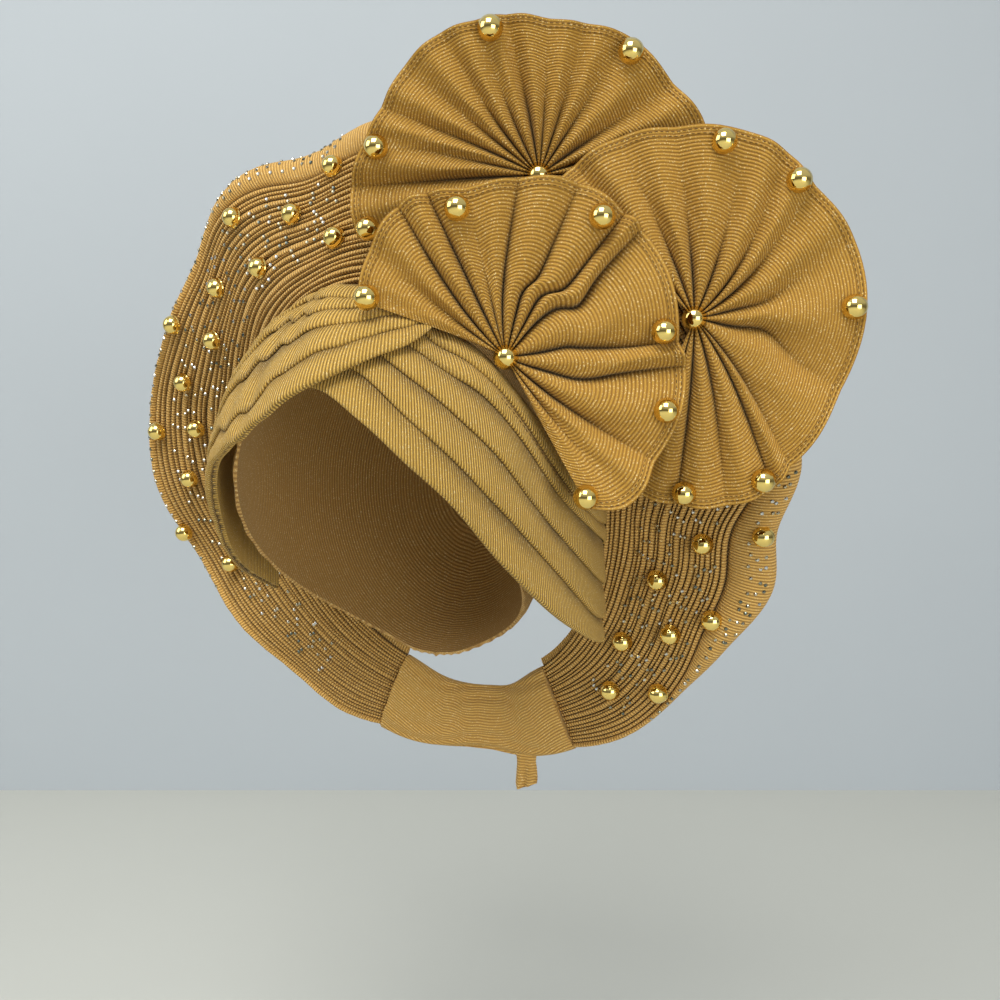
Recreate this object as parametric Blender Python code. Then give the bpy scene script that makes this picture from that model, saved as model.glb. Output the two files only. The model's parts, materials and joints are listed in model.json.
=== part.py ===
"""Tied gele head tie: pleated brim, forehead wings, three gathered rosettes and gold studs."""
import math

import bmesh
import bpy
import numpy as np

MM = 0.001
CLOTH = 2.0 * MM
SEAT_GAP = 0.4 * MM

# Head room and the cap round it
HEAD_SIDE = 82 * MM
HEAD_DEEP = 102 * MM
HEAD_HIGH = 105 * MM
CAP_TURNS = 24
CAP_RINGS = 6
# turn round the head from the brow, height of the cap's edge as a share of the head room's height
CAP_EDGE = (
    (0, 0.63),
    (42, 0.25),
    (60, -0.13),
    (80, -0.42),
    (113, -0.72),
    (150, -0.90),
    (180, -0.93),
)

# Wings: knife pleats laid round the cap, standing off it towards the ears
WING_STAND = 20 * MM
KNIFE_RISE = 3.4 * MM
WING_BACK_STEPS = 6
# share of a pleat's height from its folded edge, share of its rise
KNIFE_SHAPE = (
    (0.00, 0.10),
    (0.07, 0.92),
    (0.28, 1.00),
    (0.66, 0.62),
)
# turn, stand-off share, share laid over the other wing,
# lower edge, four pleat lines and top edge as shares of the head room's height, rise share
RIGHT_WING = (
    (-102, 0.88, 0.0, -0.590, -0.457, -0.324, -0.190, -0.057, 0.076, 0.8),
    (-80, 0.68, 0.0, -0.381, -0.248, -0.095, 0.057, 0.210, 0.343, 0.9),
    (-60, 0.45, 0.0, -0.076, 0.057, 0.210, 0.362, 0.495, 0.610, 1.0),
    (-42, 0.33, 0.0, 0.133, 0.257, 0.410, 0.552, 0.686, 0.800, 1.0),
    (-28, 0.30, 0.0, 0.200, 0.305, 0.533, 0.724, 0.838, 0.895, 1.0),
    (-13, 0.32, 0.1, 0.305, 0.429, 0.629, 0.762, 0.848, 0.905, 1.0),
    (-5, 0.27, 0.6, 0.371, 0.514, 0.667, 0.762, 0.829, 0.895, 1.0),
    (3, 0.18, 1.0, 0.429, 0.571, 0.686, 0.762, 0.819, 0.886, 1.0),
    (12, 0.19, 1.0, 0.486, 0.600, 0.695, 0.762, 0.810, 0.876, 1.0),
    (24, 0.20, 1.0, 0.562, 0.657, 0.724, 0.771, 0.810, 0.857, 0.8),
    (35, 0.21, 1.0, 0.629, 0.695, 0.743, 0.781, 0.810, 0.838, 0.5),
)
LEFT_WING = (
    (-4, 0.00, 0.0, 0.476, 0.552, 0.629, 0.695, 0.762, 0.819, 0.4),
    (6, 0.18, 0.0, 0.457, 0.571, 0.648, 0.724, 0.781, 0.838, 0.6),
    (20, 0.19, 0.0, 0.324, 0.505, 0.629, 0.705, 0.771, 0.829, 0.9),
    (34, 0.21, 0.0, 0.133, 0.324, 0.505, 0.648, 0.733, 0.800, 1.0),
    (42, 0.27, 0.0, 0.019, 0.210, 0.410, 0.571, 0.667, 0.752, 1.0),
    (60, 0.35, 0.0, -0.305, -0.067, 0.143, 0.362, 0.486, 0.610, 1.0),
    (80, 0.57, 0.0, -0.590, -0.381, -0.190, 0.000, 0.086, 0.229, 1.0),
    (98, 0.83, 0.0, -0.743, -0.610, -0.410, -0.190, -0.124, 0.019, 1.0),
    (113, 0.97, 0.0, -0.800, -0.676, -0.495, -0.267, -0.171, -0.038, 0.8),
)

# Brim: a ruled surface from the inner edge to a round rim that leans forward
BRIM_REACH = 200 * MM
BRIM_FORWARD = 45 * MM
BRIM_LEAN = 0.30
BRIM_PLEATS = 24
BRIM_SECTIONS = 29
BRIM_THICK = 4.0 * MM
BRIM_BACK_STEPS = 5
FLANGE_SHARE = 0.10
JOIN_BACK = 6 * MM
JOIN_GAP = 0.9 * MM
JOIN_FADE = (104.0, 126.0, 0.06)
PLEAT_RISE = 3.0 * MM
RIM_WAVES = 12
RIM_WAVE = 3.5 * MM
# turn from the top, inner edge off the head as a share of the wings' stand-off,
# its depth as a share of the head room's depth, rim as a share of the reach
BRIM_ROWS = (
    (-157, 1.09, 0.902, 0.870),
    (-138, 0.97, 0.745, 0.920),
    (-119, 0.90, 0.627, 0.950),
    (-105, 0.85, 0.549, 0.990),
    (-90, 0.90, 0.461, 1.040),
    (-75, 0.85, 0.294, 1.050),
    (-61, 0.75, 0.078, 0.990),
    (-50, 0.63, -0.078, 0.990),
    (-38, 0.44, -0.216, 1.020),
    (-27, 0.27, -0.314, 1.010),
    (-17, 0.15, -0.373, 0.975),
    (-5, 0.07, -0.412, 0.980),
    (15, 0.16, -0.382, 0.990),
    (35, 0.43, -0.245, 0.980),
    (55, 0.71, 0.000, 0.980),
    (72, 0.87, 0.235, 0.980),
    (86, 0.90, 0.441, 1.035),
    (97, 0.89, 0.529, 0.970),
    (107, 0.88, 0.588, 0.985),
    (118, 0.91, 0.657, 0.935),
    (128, 0.96, 0.706, 0.910),
    (145, 1.03, 0.824, 0.905),
    (157, 1.09, 0.902, 0.875),
)
# share of the flange, share of the pleat's rise
FLANGE_SHAPE = (
    (0.12, 0.9),
    (0.45, 1.2),
    (0.80, 0.9),
    (1.00, 0.2),
)

# Nape wrap and the end of cloth under it
WRAP_TURNS = 16
WRAP_STEPS = 9
WRAP_THICK = 12 * MM
WRAP_BEHIND = 2 * MM
WRAP_LOW = 0.73
WRAP_NARROW = 0.78
WRAP_SAG = 6 * MM
TIE_STEP = 2
TIE_WIDE = 15 * MM
TIE_THICK = 5 * MM
TIE_LONG = 20 * MM
TIE_SIDES = 10
# share of the length, share of the width
TIE_SHAPE = ((0.0, 0.55), (0.25, 0.85), (0.6, 1.0), (0.9, 0.8), (1.0, 0.55))

# Rosettes: fans gathered to a hub
FAN_LIFT = 9 * MM
FAN_FOLD = 9 * MM
FAN_WAVE = 3.5 * MM
FAN_WALL = 3.0 * MM
FAN_RINGS = (0.07, 0.16, 0.30, 0.46, 0.62, 0.79, 0.93, 1.0)
FAN_SPOTS = (0.0, 0.28, 0.72)
# name, what carries it, its turn there, its place across or up, its stand-off,
# facing turn and rise (degrees), reach, forward dish of the rim
FANS = (
    ("rosette_top", "brim", 28.2, 0.79, 2.2 * MM, 20.5, -14.7, 95 * MM, 5 * MM),
    ("rosette_side", "brim", 60.6, 0.83, 4.0 * MM, 12.5, -7.3, 98 * MM, 6 * MM),
    ("rosette_front", "wing", 65.0, 0.555, 10.9 * MM, 22.5, -5.5, 86 * MM, 12 * MM),
)
# per fold valley: angle at the rim, angle at the hub, depth share, reach share at the rim, kink
FAN_FOLDS = {
    "rosette_top": (
        (198, 196, 0.3, 1.00, 0),
        (183, 181, 0.9, 0.98, 0),
        (168, 167, 0.5, 0.91, 0),
        (157, 153, 0.8, 0.87, 0),
        (142, 143, 0.7, 0.86, 0),
        (126, 134, 0.8, 0.84, 0),
        (113, 119, 0.7, 0.80, 0),
        (102, 97, 1.0, 0.78, 0),
        (86, 84, 0.5, 0.74, 0),
        (72, 69, 0.7, 0.75, 0),
        (56, 55, 0.7, 0.79, 0),
        (33, 34, 0.9, 0.80, 0),
        (16, 16, 0.6, 0.87, 0),
        (0, 2, 0.7, 0.86, 0),
        (-14, -12, 0.3, 0.86, 0),
    ),
    "rosette_side": (
        (122, 120, 0.3, 0.93, 0),
        (113, 108, 0.8, 0.95, 0),
        (96, 91, 1.0, 0.92, 0),
        (74, 64, 0.8, 0.91, 0),
        (60, 38, 0.8, 0.88, 0),
        (47, 24, 0.9, 0.83, 0),
        (24, 6, 0.7, 0.83, -4),
        (-24, -20, 1.0, 0.80, 6),
        (-57, -44, 0.5, 0.88, 0),
        (-65, -52, 0.8, 0.94, 0),
        (-80, -70, 0.8, 0.96, 0),
        (-95, -90, 0.8, 0.94, 0),
        (-106, -104, 0.6, 0.93, 0),
        (-114, -114, 0.3, 0.92, 0),
    ),
    "rosette_front": (
        (159, 155, 0.2, 0.86, 0),
        (145, 143, 0.5, 0.95, 0),
        (126, 131, 0.9, 0.98, 0),
        (116, 121, 0.9, 0.92, 0),
        (98, 110, 0.4, 0.93, 0),
        (84, 96, 0.6, 0.95, 0),
        (68, 76, 0.9, 1.00, -5),
        (52, 64, 0.9, 1.00, -7),
        (34, 50, 1.0, 1.00, -6),
        (6, 12, 0.8, 0.95, 2),
        (-4, -12, 0.8, 0.99, -3),
        (-31, -33, 1.0, 1.01, 0),
        (-48, -52, 0.5, 1.06, 0),
        (-61, -60, 0.2, 0.95, 0),
    ),
}

# Studs
STUD_WIDE = 12 * MM
STUD_HIGH = 7 * MM
STUD_SIDES = 10
STUD_PROBE = 12
# share of the height, share of the half width
STUD_RINGS = ((0.0, 1.0), (0.42, 0.93), (0.80, 0.62))
# rosette studs: angle, share of the reach at that angle
FAN_STUDS = {
    "rosette_top": ((90, 0.0), (109, 0.93), (52, 0.93), (170, 0.92), (196, 0.93)),
    "rosette_side": ((90, 0.0), (81, 0.92), (53, 0.94), (3, 0.93), (-67, 0.93), (-93, 0.93)),
    "rosette_front": ((90, 0.0), (108, 0.90), (55, 0.90), (157, 0.93), (9, 0.91), (-18, 0.92), (-60, 0.92)),
}
# brim studs: turn from the top, share of the width
BRIM_STUDS = (
    (-10, 0.77),
    (-33, 0.78),
    (-20, 0.57),
    (-32, 0.40),
    (-45.5, 0.65),
    (-58.5, 0.92),
    (-55.5, 0.56),
    (-68.5, 0.73),
    (-80, 0.90),
    (-77.5, 0.61),
    (-88.5, 0.72),
    (-99.5, 0.94),
    (-108, 0.72),
    (97, 0.94),
    (100.5, 0.60),
    (111.5, 0.38),
    (114.5, 0.80),
    (121.5, 0.64),
    (130.5, 0.38),
    (142, 0.57),
    (134, 0.86),
    (-8.8, 0.29),
)


def smooth(rows, column, where):
    """Smooth curve through one column of a table whose first column is the place."""
    table = np.array(rows, float)
    place = table[:, 0]
    value = table[:, column]
    slope = np.gradient(value, place)
    spot = np.clip(np.searchsorted(place, where) - 1, 0, len(place) - 2)
    span = place[spot + 1] - place[spot]
    part = np.clip((where - place[spot]) / span, 0.0, 1.0)
    two = part * part
    three = two * part
    start = (2 * three - 3 * two + 1) * value[spot] + (three - 2 * two + part) * span * slope[spot]
    end = (3 * two - 2 * three) * value[spot + 1] + (three - two) * span * slope[spot + 1]
    return start + end


def unit(vectors):
    """Vectors made one long."""
    size = np.linalg.norm(vectors, axis=-1, keepdims=True)
    return vectors / np.maximum(size, 1e-12)


def material(name, colour, roughness, metallic):
    """A plain material."""
    mat = bpy.data.materials.new(name)
    mat.use_nodes = True
    shader = mat.node_tree.nodes["Principled BSDF"]
    shader.inputs["Base Color"].default_value = (*colour, 1.0)
    shader.inputs["Roughness"].default_value = roughness
    shader.inputs["Metallic"].default_value = metallic
    return mat


def solid(name, points, faces, mat):
    """One closed mesh object, its faces turned outwards."""
    mesh = bpy.data.meshes.new(name)
    mesh.from_pydata([tuple(p) for p in points], [], faces)
    mesh.materials.append(mat)
    work = bmesh.new()
    work.from_mesh(mesh)
    bmesh.ops.recalc_face_normals(work, faces=work.faces)
    bmesh.ops.triangulate(work, faces=work.faces)
    work.to_mesh(mesh)
    work.free()
    obj = bpy.data.objects.new(name, mesh)
    bpy.context.collection.objects.link(obj)
    return obj


def shell(name, front, back, mat):
    """Closed cloth: a fine front grid and a coarser back grid with the same rows."""
    rows, wide = front.shape[:2]
    deep = back.shape[1]
    points = np.concatenate([front.reshape(-1, 3), back.reshape(-1, 3)])
    base = rows * wide
    faces = []
    for i in range(rows - 1):
        for j in range(wide - 1):
            a = i * wide + j
            faces.append((a, a + 1, a + wide + 1, a + wide))
        for j in range(deep - 1):
            a = base + i * deep + j
            faces.append((a, a + deep, a + deep + 1, a + 1))
        for f, b in ((0, 0), (wide - 1, deep - 1)):
            a = i * wide + f
            c = base + i * deep + b
            faces.append((a, a + wide, c + deep, c))
    for i in (0, rows - 1):
        rim = [i * wide + j for j in range(wide)]
        rim += [base + i * deep + j for j in reversed(range(deep))]
        faces.append(tuple(rim))
    return solid(name, points, faces, mat)


def cap_grid(grow):
    """Rings of the cap from the crown to its edge, on the head shape grown by a wall."""
    turns = np.linspace(0, 360, CAP_TURNS, endpoint=False)
    fold = np.where(turns > 180, 360 - turns, turns)
    edge = smooth(CAP_EDGE, 1, fold) * HEAD_HIGH
    down = np.arccos(edge / HEAD_HIGH)
    share = np.linspace(0, 1, CAP_RINGS + 1)[1:]
    polar = down[None, :] * share[:, None]
    ang = np.radians(turns)[None, :]
    x = (HEAD_SIDE + grow) * np.sin(polar) * np.sin(ang)
    y = -(HEAD_DEEP + grow) * np.sin(polar) * np.cos(ang)
    z = (HEAD_HIGH + grow) * np.cos(polar)
    return np.stack([x, y, z], -1)


def make_cap(mat):
    """The cap: two domes joined along the face and nape edge."""
    points = []
    faces = []
    starts = []
    for grow in (CLOTH, 0.0):
        grid = cap_grid(grow)
        start = len(points)
        starts.append(start)
        points.append((0.0, 0.0, HEAD_HIGH + grow))
        points.extend(grid.reshape(-1, 3))
        for j in range(CAP_TURNS):
            k = (j + 1) % CAP_TURNS
            faces.append((start, start + 1 + j, start + 1 + k))
            for i in range(CAP_RINGS - 1):
                a = start + 1 + i * CAP_TURNS
                faces.append((a + j, a + CAP_TURNS + j, a + CAP_TURNS + k, a + k))
    last = 1 + (CAP_RINGS - 1) * CAP_TURNS
    for j in range(CAP_TURNS):
        k = (j + 1) % CAP_TURNS
        outer = starts[0] + last
        inner = starts[1] + last
        faces.append((outer + j, inner + j, inner + k, outer + k))
    return solid("crown_cap", points, faces, mat)


def wing_point(turn, high, off):
    """Point off the cap by a stand-off; upright below the head's widest ring."""
    ang = np.radians(turn)
    side = HEAD_SIDE + CLOTH + SEAT_GAP
    deep = HEAD_DEEP + CLOTH + SEAT_GAP
    tall = HEAD_HIGH + CLOTH + SEAT_GAP
    above = np.maximum(high, 0.0) / tall
    ring = np.sqrt(np.maximum(1 - above ** 2, 0.01))
    x = side * np.sin(ang) * ring
    y = -deep * np.cos(ang) * ring
    out = unit(np.stack([np.sin(ang) / side * ring, -np.cos(ang) / deep * ring, above / tall], -1))
    return np.stack([x, y, high], -1) + out * off[..., None]


def wing_off(rows, turns):
    """Stand-off of a wing's back: its ease, and the other wing where it lies over it."""
    over = smooth(rows, 2, turns) * (CLOTH + KNIFE_RISE + SEAT_GAP)
    return smooth(rows, 1, turns) * WING_STAND + over


def make_wing(name, rows, steps, mat):
    """Knife-pleated wing: each pleat's folded lower edge stands over the pleat below."""
    turns = np.linspace(rows[0][0], rows[-1][0], steps)
    lines = np.stack([smooth(rows, c, turns) for c in range(3, 9)], 1) * HEAD_HIGH
    off = wing_off(rows, turns)
    rise = smooth(rows, 9, turns) * KNIFE_RISE
    high = []
    lift = []
    for k in range(5):
        for share, up in KNIFE_SHAPE:
            high.append(lines[:, k] + (lines[:, k + 1] - lines[:, k]) * share)
            lift.append(rise * up)
    high.append(lines[:, 5])
    lift.append(rise * KNIFE_SHAPE[0][1])
    high = np.stack(high, 1)
    lift = np.stack(lift, 1)
    around = np.repeat(turns[:, None], high.shape[1], 1)
    front = wing_point(around, high, off[:, None] + CLOTH + lift)
    share = np.linspace(0, 1, WING_BACK_STEPS)
    inner = lines[:, :1] + (lines[:, 5:] - lines[:, :1]) * share
    around = np.repeat(turns[:, None], WING_BACK_STEPS, 1)
    back = wing_point(around, inner, np.repeat(off[:, None], WING_BACK_STEPS, 1))
    return shell(name, front, back, mat)


def brim_base(turn, across):
    """Point of the smooth brim between its inner edge and its leaning rim."""
    ang = np.radians(turn)
    head = 1 / np.hypot(np.sin(ang) / HEAD_SIDE, np.cos(ang) / HEAD_HIGH)
    inner = head + smooth(BRIM_ROWS, 1, turn) * WING_STAND
    deep = smooth(BRIM_ROWS, 2, turn) * HEAD_DEEP
    rim = smooth(BRIM_ROWS, 3, turn) * BRIM_REACH
    inside = np.stack([inner * np.sin(ang), deep, inner * np.cos(ang)], -1)
    high = rim * np.cos(ang)
    outside = np.stack([rim * np.sin(ang), BRIM_FORWARD - BRIM_LEAN * high, high], -1)
    ahead = np.maximum(across, 0.0)[..., None]
    return inside + (outside - inside) * ahead + brim_join(turn, inner, deep) * np.minimum(across, 0.0)[..., None]


def brim_join(turn, inner, deep):
    """Way from the cap to the brim's inner edge, for the plain strip between them."""
    ang = np.radians(turn)
    end = deep + JOIN_BACK
    near = np.where(end > 0, end, np.minimum(end + BRIM_THICK, 0.0))
    ring = np.sqrt(1 - (near / (HEAD_DEEP + CLOTH)) ** 2)
    across_head = np.sin(ang) / (HEAD_SIDE + CLOTH)
    up_head = np.cos(ang) / (HEAD_HIGH + CLOTH)
    cap = ring / np.hypot(across_head, up_head) + JOIN_GAP
    start, stop, least = JOIN_FADE
    keep = 1 - (1 - least) * np.clip((np.abs(turn) - start) / (stop - start), 0.0, 1.0)
    gap = (inner - cap) * keep
    return np.stack([gap * np.sin(ang), -JOIN_BACK * keep, gap * np.cos(ang)], -1)


def brim_normal(turn, across):
    """Forward normal of the smooth brim."""
    step = 0.5
    along = brim_base(turn + step, across) - brim_base(turn - step, across)
    out = brim_base(turn, across * 0 + 1) - brim_base(turn, across * 0)
    return unit(np.cross(along, out))


def brim_surface(turn, across, rise):
    """Brim point with a rise along the forward normal and the rim's slow waves."""
    wave = RIM_WAVE * np.cos(np.radians(turn) * RIM_WAVES) * np.maximum(across, 0.0) ** 3
    return brim_base(turn, across) + brim_normal(turn, across) * (rise + wave)[..., None]


def brim_profile():
    """Share across and share of rise for each line of the brim's front."""
    pleats = 1.0 - FLANGE_SHARE
    across = [-1.0]
    rise = [0.0]
    for k in range(BRIM_PLEATS):
        across += [pleats * k / BRIM_PLEATS, pleats * (k + 0.5) / BRIM_PLEATS]
        rise += [0.0, 1.0]
    across.append(pleats)
    rise.append(0.0)
    for share, up in FLANGE_SHAPE:
        across.append(pleats + FLANGE_SHARE * share)
        rise.append(up)
    return np.array(across), np.array(rise)


def brim_front(sections):
    """Grid of the pleated front."""
    turns = np.linspace(BRIM_ROWS[0][0], BRIM_ROWS[-1][0], sections)
    across, rise = brim_profile()
    turn, across = np.meshgrid(turns, across, indexing="ij")
    near_end = np.clip((BRIM_ROWS[-1][0] - np.abs(turn)) / 25.0, 0.0, 1.0)
    high = PLEAT_RISE * (0.55 + 0.45 * near_end) * rise[None, :]
    return brim_surface(turn, across, high)


def make_brim(mat):
    """The brim: pleats and flange in front, plain behind."""
    front = brim_front(BRIM_SECTIONS)
    turns = np.linspace(BRIM_ROWS[0][0], BRIM_ROWS[-1][0], BRIM_SECTIONS)
    across = np.append(-1.0, np.linspace(0, 1, BRIM_BACK_STEPS))
    turn, across = np.meshgrid(turns, across, indexing="ij")
    back = brim_surface(turn, across, -BRIM_THICK * (1 + 0.5 * np.minimum(across, 0.0)))
    return shell("halo", front, back, mat)


def make_wrap(mat):
    """The wrap behind the nape, from one end of the brim to the other."""
    end = BRIM_ROWS[-1][0]
    edge = np.array([[end, 0.0], [end, 1.0], [-end, 0.0], [-end, 1.0]])
    spots = brim_surface(edge[:, 0], edge[:, 1], np.full(4, -BRIM_THICK / 4))
    start = (spots[0] + spots[1]) / 2
    tilt = unit(spots[1] - spots[0])
    wide = np.linalg.norm(spots[1] - spots[0])
    leave = np.cross(np.array([0.0, 1.0, 0.0]), tilt)
    leave = leave if leave[0] < 0 else -leave
    start = start + leave * SEAT_GAP * 2
    rings = []
    middle = np.array([0.0, HEAD_DEEP + WRAP_BEHIND, -WRAP_LOW * BRIM_REACH])
    for s in np.linspace(1.0, -1.0, WRAP_STEPS):
        share = abs(s)
        side = math.copysign(1.0, s) if s else 1.0
        mirror = np.array([side, 1.0, 1.0])
        ease = share * share * (3 - 2 * share)
        bend = (1 - share) * share * 4 * WRAP_SAG
        spot = middle + (start - middle) * np.array([share, ease, ease]) - np.array([0, 0, bend])
        down = unit(np.array([0.0, 0.0, -1.0]) * (1 - ease) + tilt * ease)
        half = wide / 2 * (WRAP_NARROW + (1.02 - WRAP_NARROW) * ease)
        turns = np.radians(np.linspace(0, 360, WRAP_TURNS, endpoint=False))
        a = np.sign(np.cos(turns)) * np.abs(np.cos(turns)) ** 0.8 * half
        b = np.sign(np.sin(turns)) * np.abs(np.sin(turns)) ** 0.8 * WRAP_THICK / 2
        ring = spot + a[:, None] * down + b[:, None] * np.array([0.0, 1.0, 0.0])
        rings.append(ring * mirror)
    count = WRAP_TURNS
    points = np.concatenate(rings)
    faces = [tuple(range(count)), tuple(range(len(points) - count, len(points)))]
    for i in range(WRAP_STEPS - 1):
        for j in range(count):
            k = (j + 1) % count
            faces.append((i * count + j, i * count + k, (i + 1) * count + k, (i + 1) * count + j))
    solid("nape_band", points, faces, mat)
    return rings[TIE_STEP]


def make_tie(ring, mat):
    """The short end of cloth hanging under one ring of the wrap."""
    top = ring[np.argmin(ring[:, 2])] - np.array([0.0, 0.0, SEAT_GAP])
    turns = np.radians(np.linspace(0, 360, TIE_SIDES, endpoint=False))
    rings = []
    for share, spread in TIE_SHAPE:
        x = np.cos(turns) * TIE_WIDE / 2 * spread
        y = np.sin(turns) * TIE_THICK / 2 * spread
        rings.append(np.stack([x, y, np.full(TIE_SIDES, -TIE_LONG * share)], -1) + top)
    points = np.concatenate(rings)
    last = len(points) - TIE_SIDES
    faces = [tuple(range(TIE_SIDES)), tuple(range(last, len(points)))]
    for i in range(len(TIE_SHAPE) - 1):
        for j in range(TIE_SIDES):
            a = i * TIE_SIDES
            k = (j + 1) % TIE_SIDES
            faces.append((a + j, a + k, a + TIE_SIDES + k, a + TIE_SIDES + j))
    return solid("tie_end", points, faces, mat)


def fan_axes(turn, rise):
    """Right, up and facing directions of a rosette."""
    a = math.radians(turn)
    b = math.radians(rise)
    face = np.array([math.sin(a) * math.cos(b), -math.cos(a) * math.cos(b), math.sin(b)])
    right = np.array([math.cos(a), math.sin(a), 0.0])
    return right, np.cross(face, right), face


def fan_hub(fan):
    """Where a rosette is sewn on: a place on the brim or the wings and a stand-off."""
    carrier, turn, place, off = fan[1:5]
    turn = np.array(float(turn))
    if carrier == "brim":
        return brim_surface(turn, np.array(place), np.array(PLEAT_RISE + off))
    return wing_point(turn, np.array(place * HEAD_HIGH), np.array(CLOTH + KNIFE_RISE + off))


def fan_point(fan, place, ring):
    """Point of a rosette: place counts folds from the first valley, ring is 0 at the hub, 1 at the rim."""
    name = fan[0]
    turn, rise, reach, dish = fan[5:]
    folds = np.array(FAN_FOLDS[name], float)
    count = np.arange(len(folds))
    bend = (1 - ring) ** 1.5
    kink = np.exp(-((ring - 0.42) / 0.16) ** 2)
    first = np.clip(np.floor(place), 0, len(folds) - 2).astype(int)
    part = place - first

    def blend(column):
        return folds[first, column] * (1 - part) + folds[first + 1, column] * part

    angle = np.radians(blend(0) + (blend(1) - blend(0)) * bend + blend(4) * kink)
    rows = np.stack([count, folds[:, 3]], 1)
    far = smooth(rows, 1, place) * reach
    lift = FAN_LIFT * (1 - np.exp(-ring / 0.12)) * (1 - 0.35 * ring)
    depth = FAN_FOLD * (1 - np.exp(-ring / 0.09)) * (1 - ring) ** 0.9 + FAN_WAVE * ring
    valley = np.abs(2 * part - 1) ** 2.4
    high = lift - depth * blend(2) * valley + dish * ring
    right, up, face = fan_axes(turn, rise)
    out = (ring * far)[..., None] * (np.cos(angle)[..., None] * right + np.sin(angle)[..., None] * up)
    return fan_hub(fan) + out + high[..., None] * face


def fan_front(fan):
    """Grid of a rosette's front, three places to a fold."""
    count = len(FAN_FOLDS[fan[0]])
    places = [k + spot for k in range(count - 1) for spot in FAN_SPOTS] + [count - 1.0]
    place, ring = np.meshgrid(places, FAN_RINGS, indexing="ij")
    return fan_point(fan, place, ring)


def make_fan(fan, mat):
    """A rosette as gathered cloth, open below its hub."""
    front = fan_front(fan)
    face = fan_axes(fan[5], fan[6])[2]
    return shell(fan[0], front, front - face * FAN_WALL, mat)


def facets(grid, steps):
    """Points spread over the flat faces of a grid, for seating the studs."""
    for axis in (0, 1):
        first = np.take(grid, range(grid.shape[axis] - 1), axis)
        second = np.take(grid, range(1, grid.shape[axis]), axis)
        parts = [first + (second - first) * k / steps for k in range(steps + 1)]
        grid = np.concatenate(parts, axis)
    return grid.reshape(-1, 3)


def make_stud(name, seat, axis, cloth, mat):
    """A flat-backed dome standing just clear of the highest cloth under it."""
    axis = unit(np.array(axis))
    away = cloth - seat
    along = away @ axis
    side = np.linalg.norm(away - along[:, None] * axis, axis=1)
    base = np.array(seat) + axis * (along[side < STUD_WIDE * 0.52].max() + SEAT_GAP)
    right = unit(np.cross(axis, np.array([0.0, 0.0, 1.0])))
    up = np.cross(right, axis)
    turns = np.radians(np.arange(STUD_SIDES) * 360 / STUD_SIDES)
    ring = np.cos(turns)[:, None] * right + np.sin(turns)[:, None] * up
    points = []
    for high, wide in STUD_RINGS:
        points.extend(base + axis * STUD_HIGH * high + ring * STUD_WIDE / 2 * wide)
    points.append(base + axis * STUD_HIGH)
    faces = [tuple(range(STUD_SIDES))]
    for i in range(len(STUD_RINGS) - 1):
        for j in range(STUD_SIDES):
            k = (j + 1) % STUD_SIDES
            a = i * STUD_SIDES
            faces.append((a + j, a + k, a + STUD_SIDES + k, a + STUD_SIDES + j))
    a = (len(STUD_RINGS) - 1) * STUD_SIDES
    for j in range(STUD_SIDES):
        faces.append((a + j, a + (j + 1) % STUD_SIDES, len(points) - 1))
    return solid(name, points, faces, mat)


def make_studs(mat):
    """All the studs, rosettes first, then the brim."""
    number = 1
    for fan in FANS:
        name = fan[0]
        face = fan_axes(fan[5], fan[6])[2]
        count = len(FAN_FOLDS[name])
        cloth = facets(fan_front(fan), STUD_PROBE)
        rims = np.array(FAN_FOLDS[name], float)[:, 0]
        for angle, share in FAN_STUDS[name]:
            spot = np.interp(-angle, -rims, np.arange(count))
            seat = fan_point(fan, np.array(spot), np.array(share))
            if share == 0.0:
                seat = fan_hub(fan)
            make_stud("stud_%02d" % number, seat, face, cloth, mat)
            number += 1
    cloth = facets(brim_front(BRIM_SECTIONS), STUD_PROBE)
    for turn, across in BRIM_STUDS:
        seat = brim_base(np.array(float(turn)), np.array(across))
        axis = brim_normal(np.array(float(turn)), np.array(across))
        make_stud("stud_%02d" % number, seat, axis, cloth, mat)
        number += 1


def main():
    """Build every piece."""
    for obj in list(bpy.data.objects):
        bpy.data.objects.remove(obj)
    gold = (0.43, 0.26, 0.055)
    cloth = material("ribbed_cloth", gold, 0.75, 0.0)
    rose = material("rosette_cloth", (0.46, 0.25, 0.045), 0.75, 0.0)
    lining = material("cap_cloth", (0.36, 0.21, 0.05), 0.85, 0.0)
    metal = material("gold_dome", (0.85, 0.62, 0.20), 0.12, 1.0)
    make_cap(lining)
    make_wing("right_wing", RIGHT_WING, 14, cloth)
    make_wing("left_wing", LEFT_WING, 12, cloth)
    make_brim(cloth)
    ring = make_wrap(cloth)
    make_tie(ring, cloth)
    for fan in FANS:
        make_fan(fan, rose)
    make_studs(metal)


main()
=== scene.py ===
"""Scene of a tied gele head tie: pleated brim, crossed wings, gathered rosettes and studs."""
import json
import math

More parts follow.
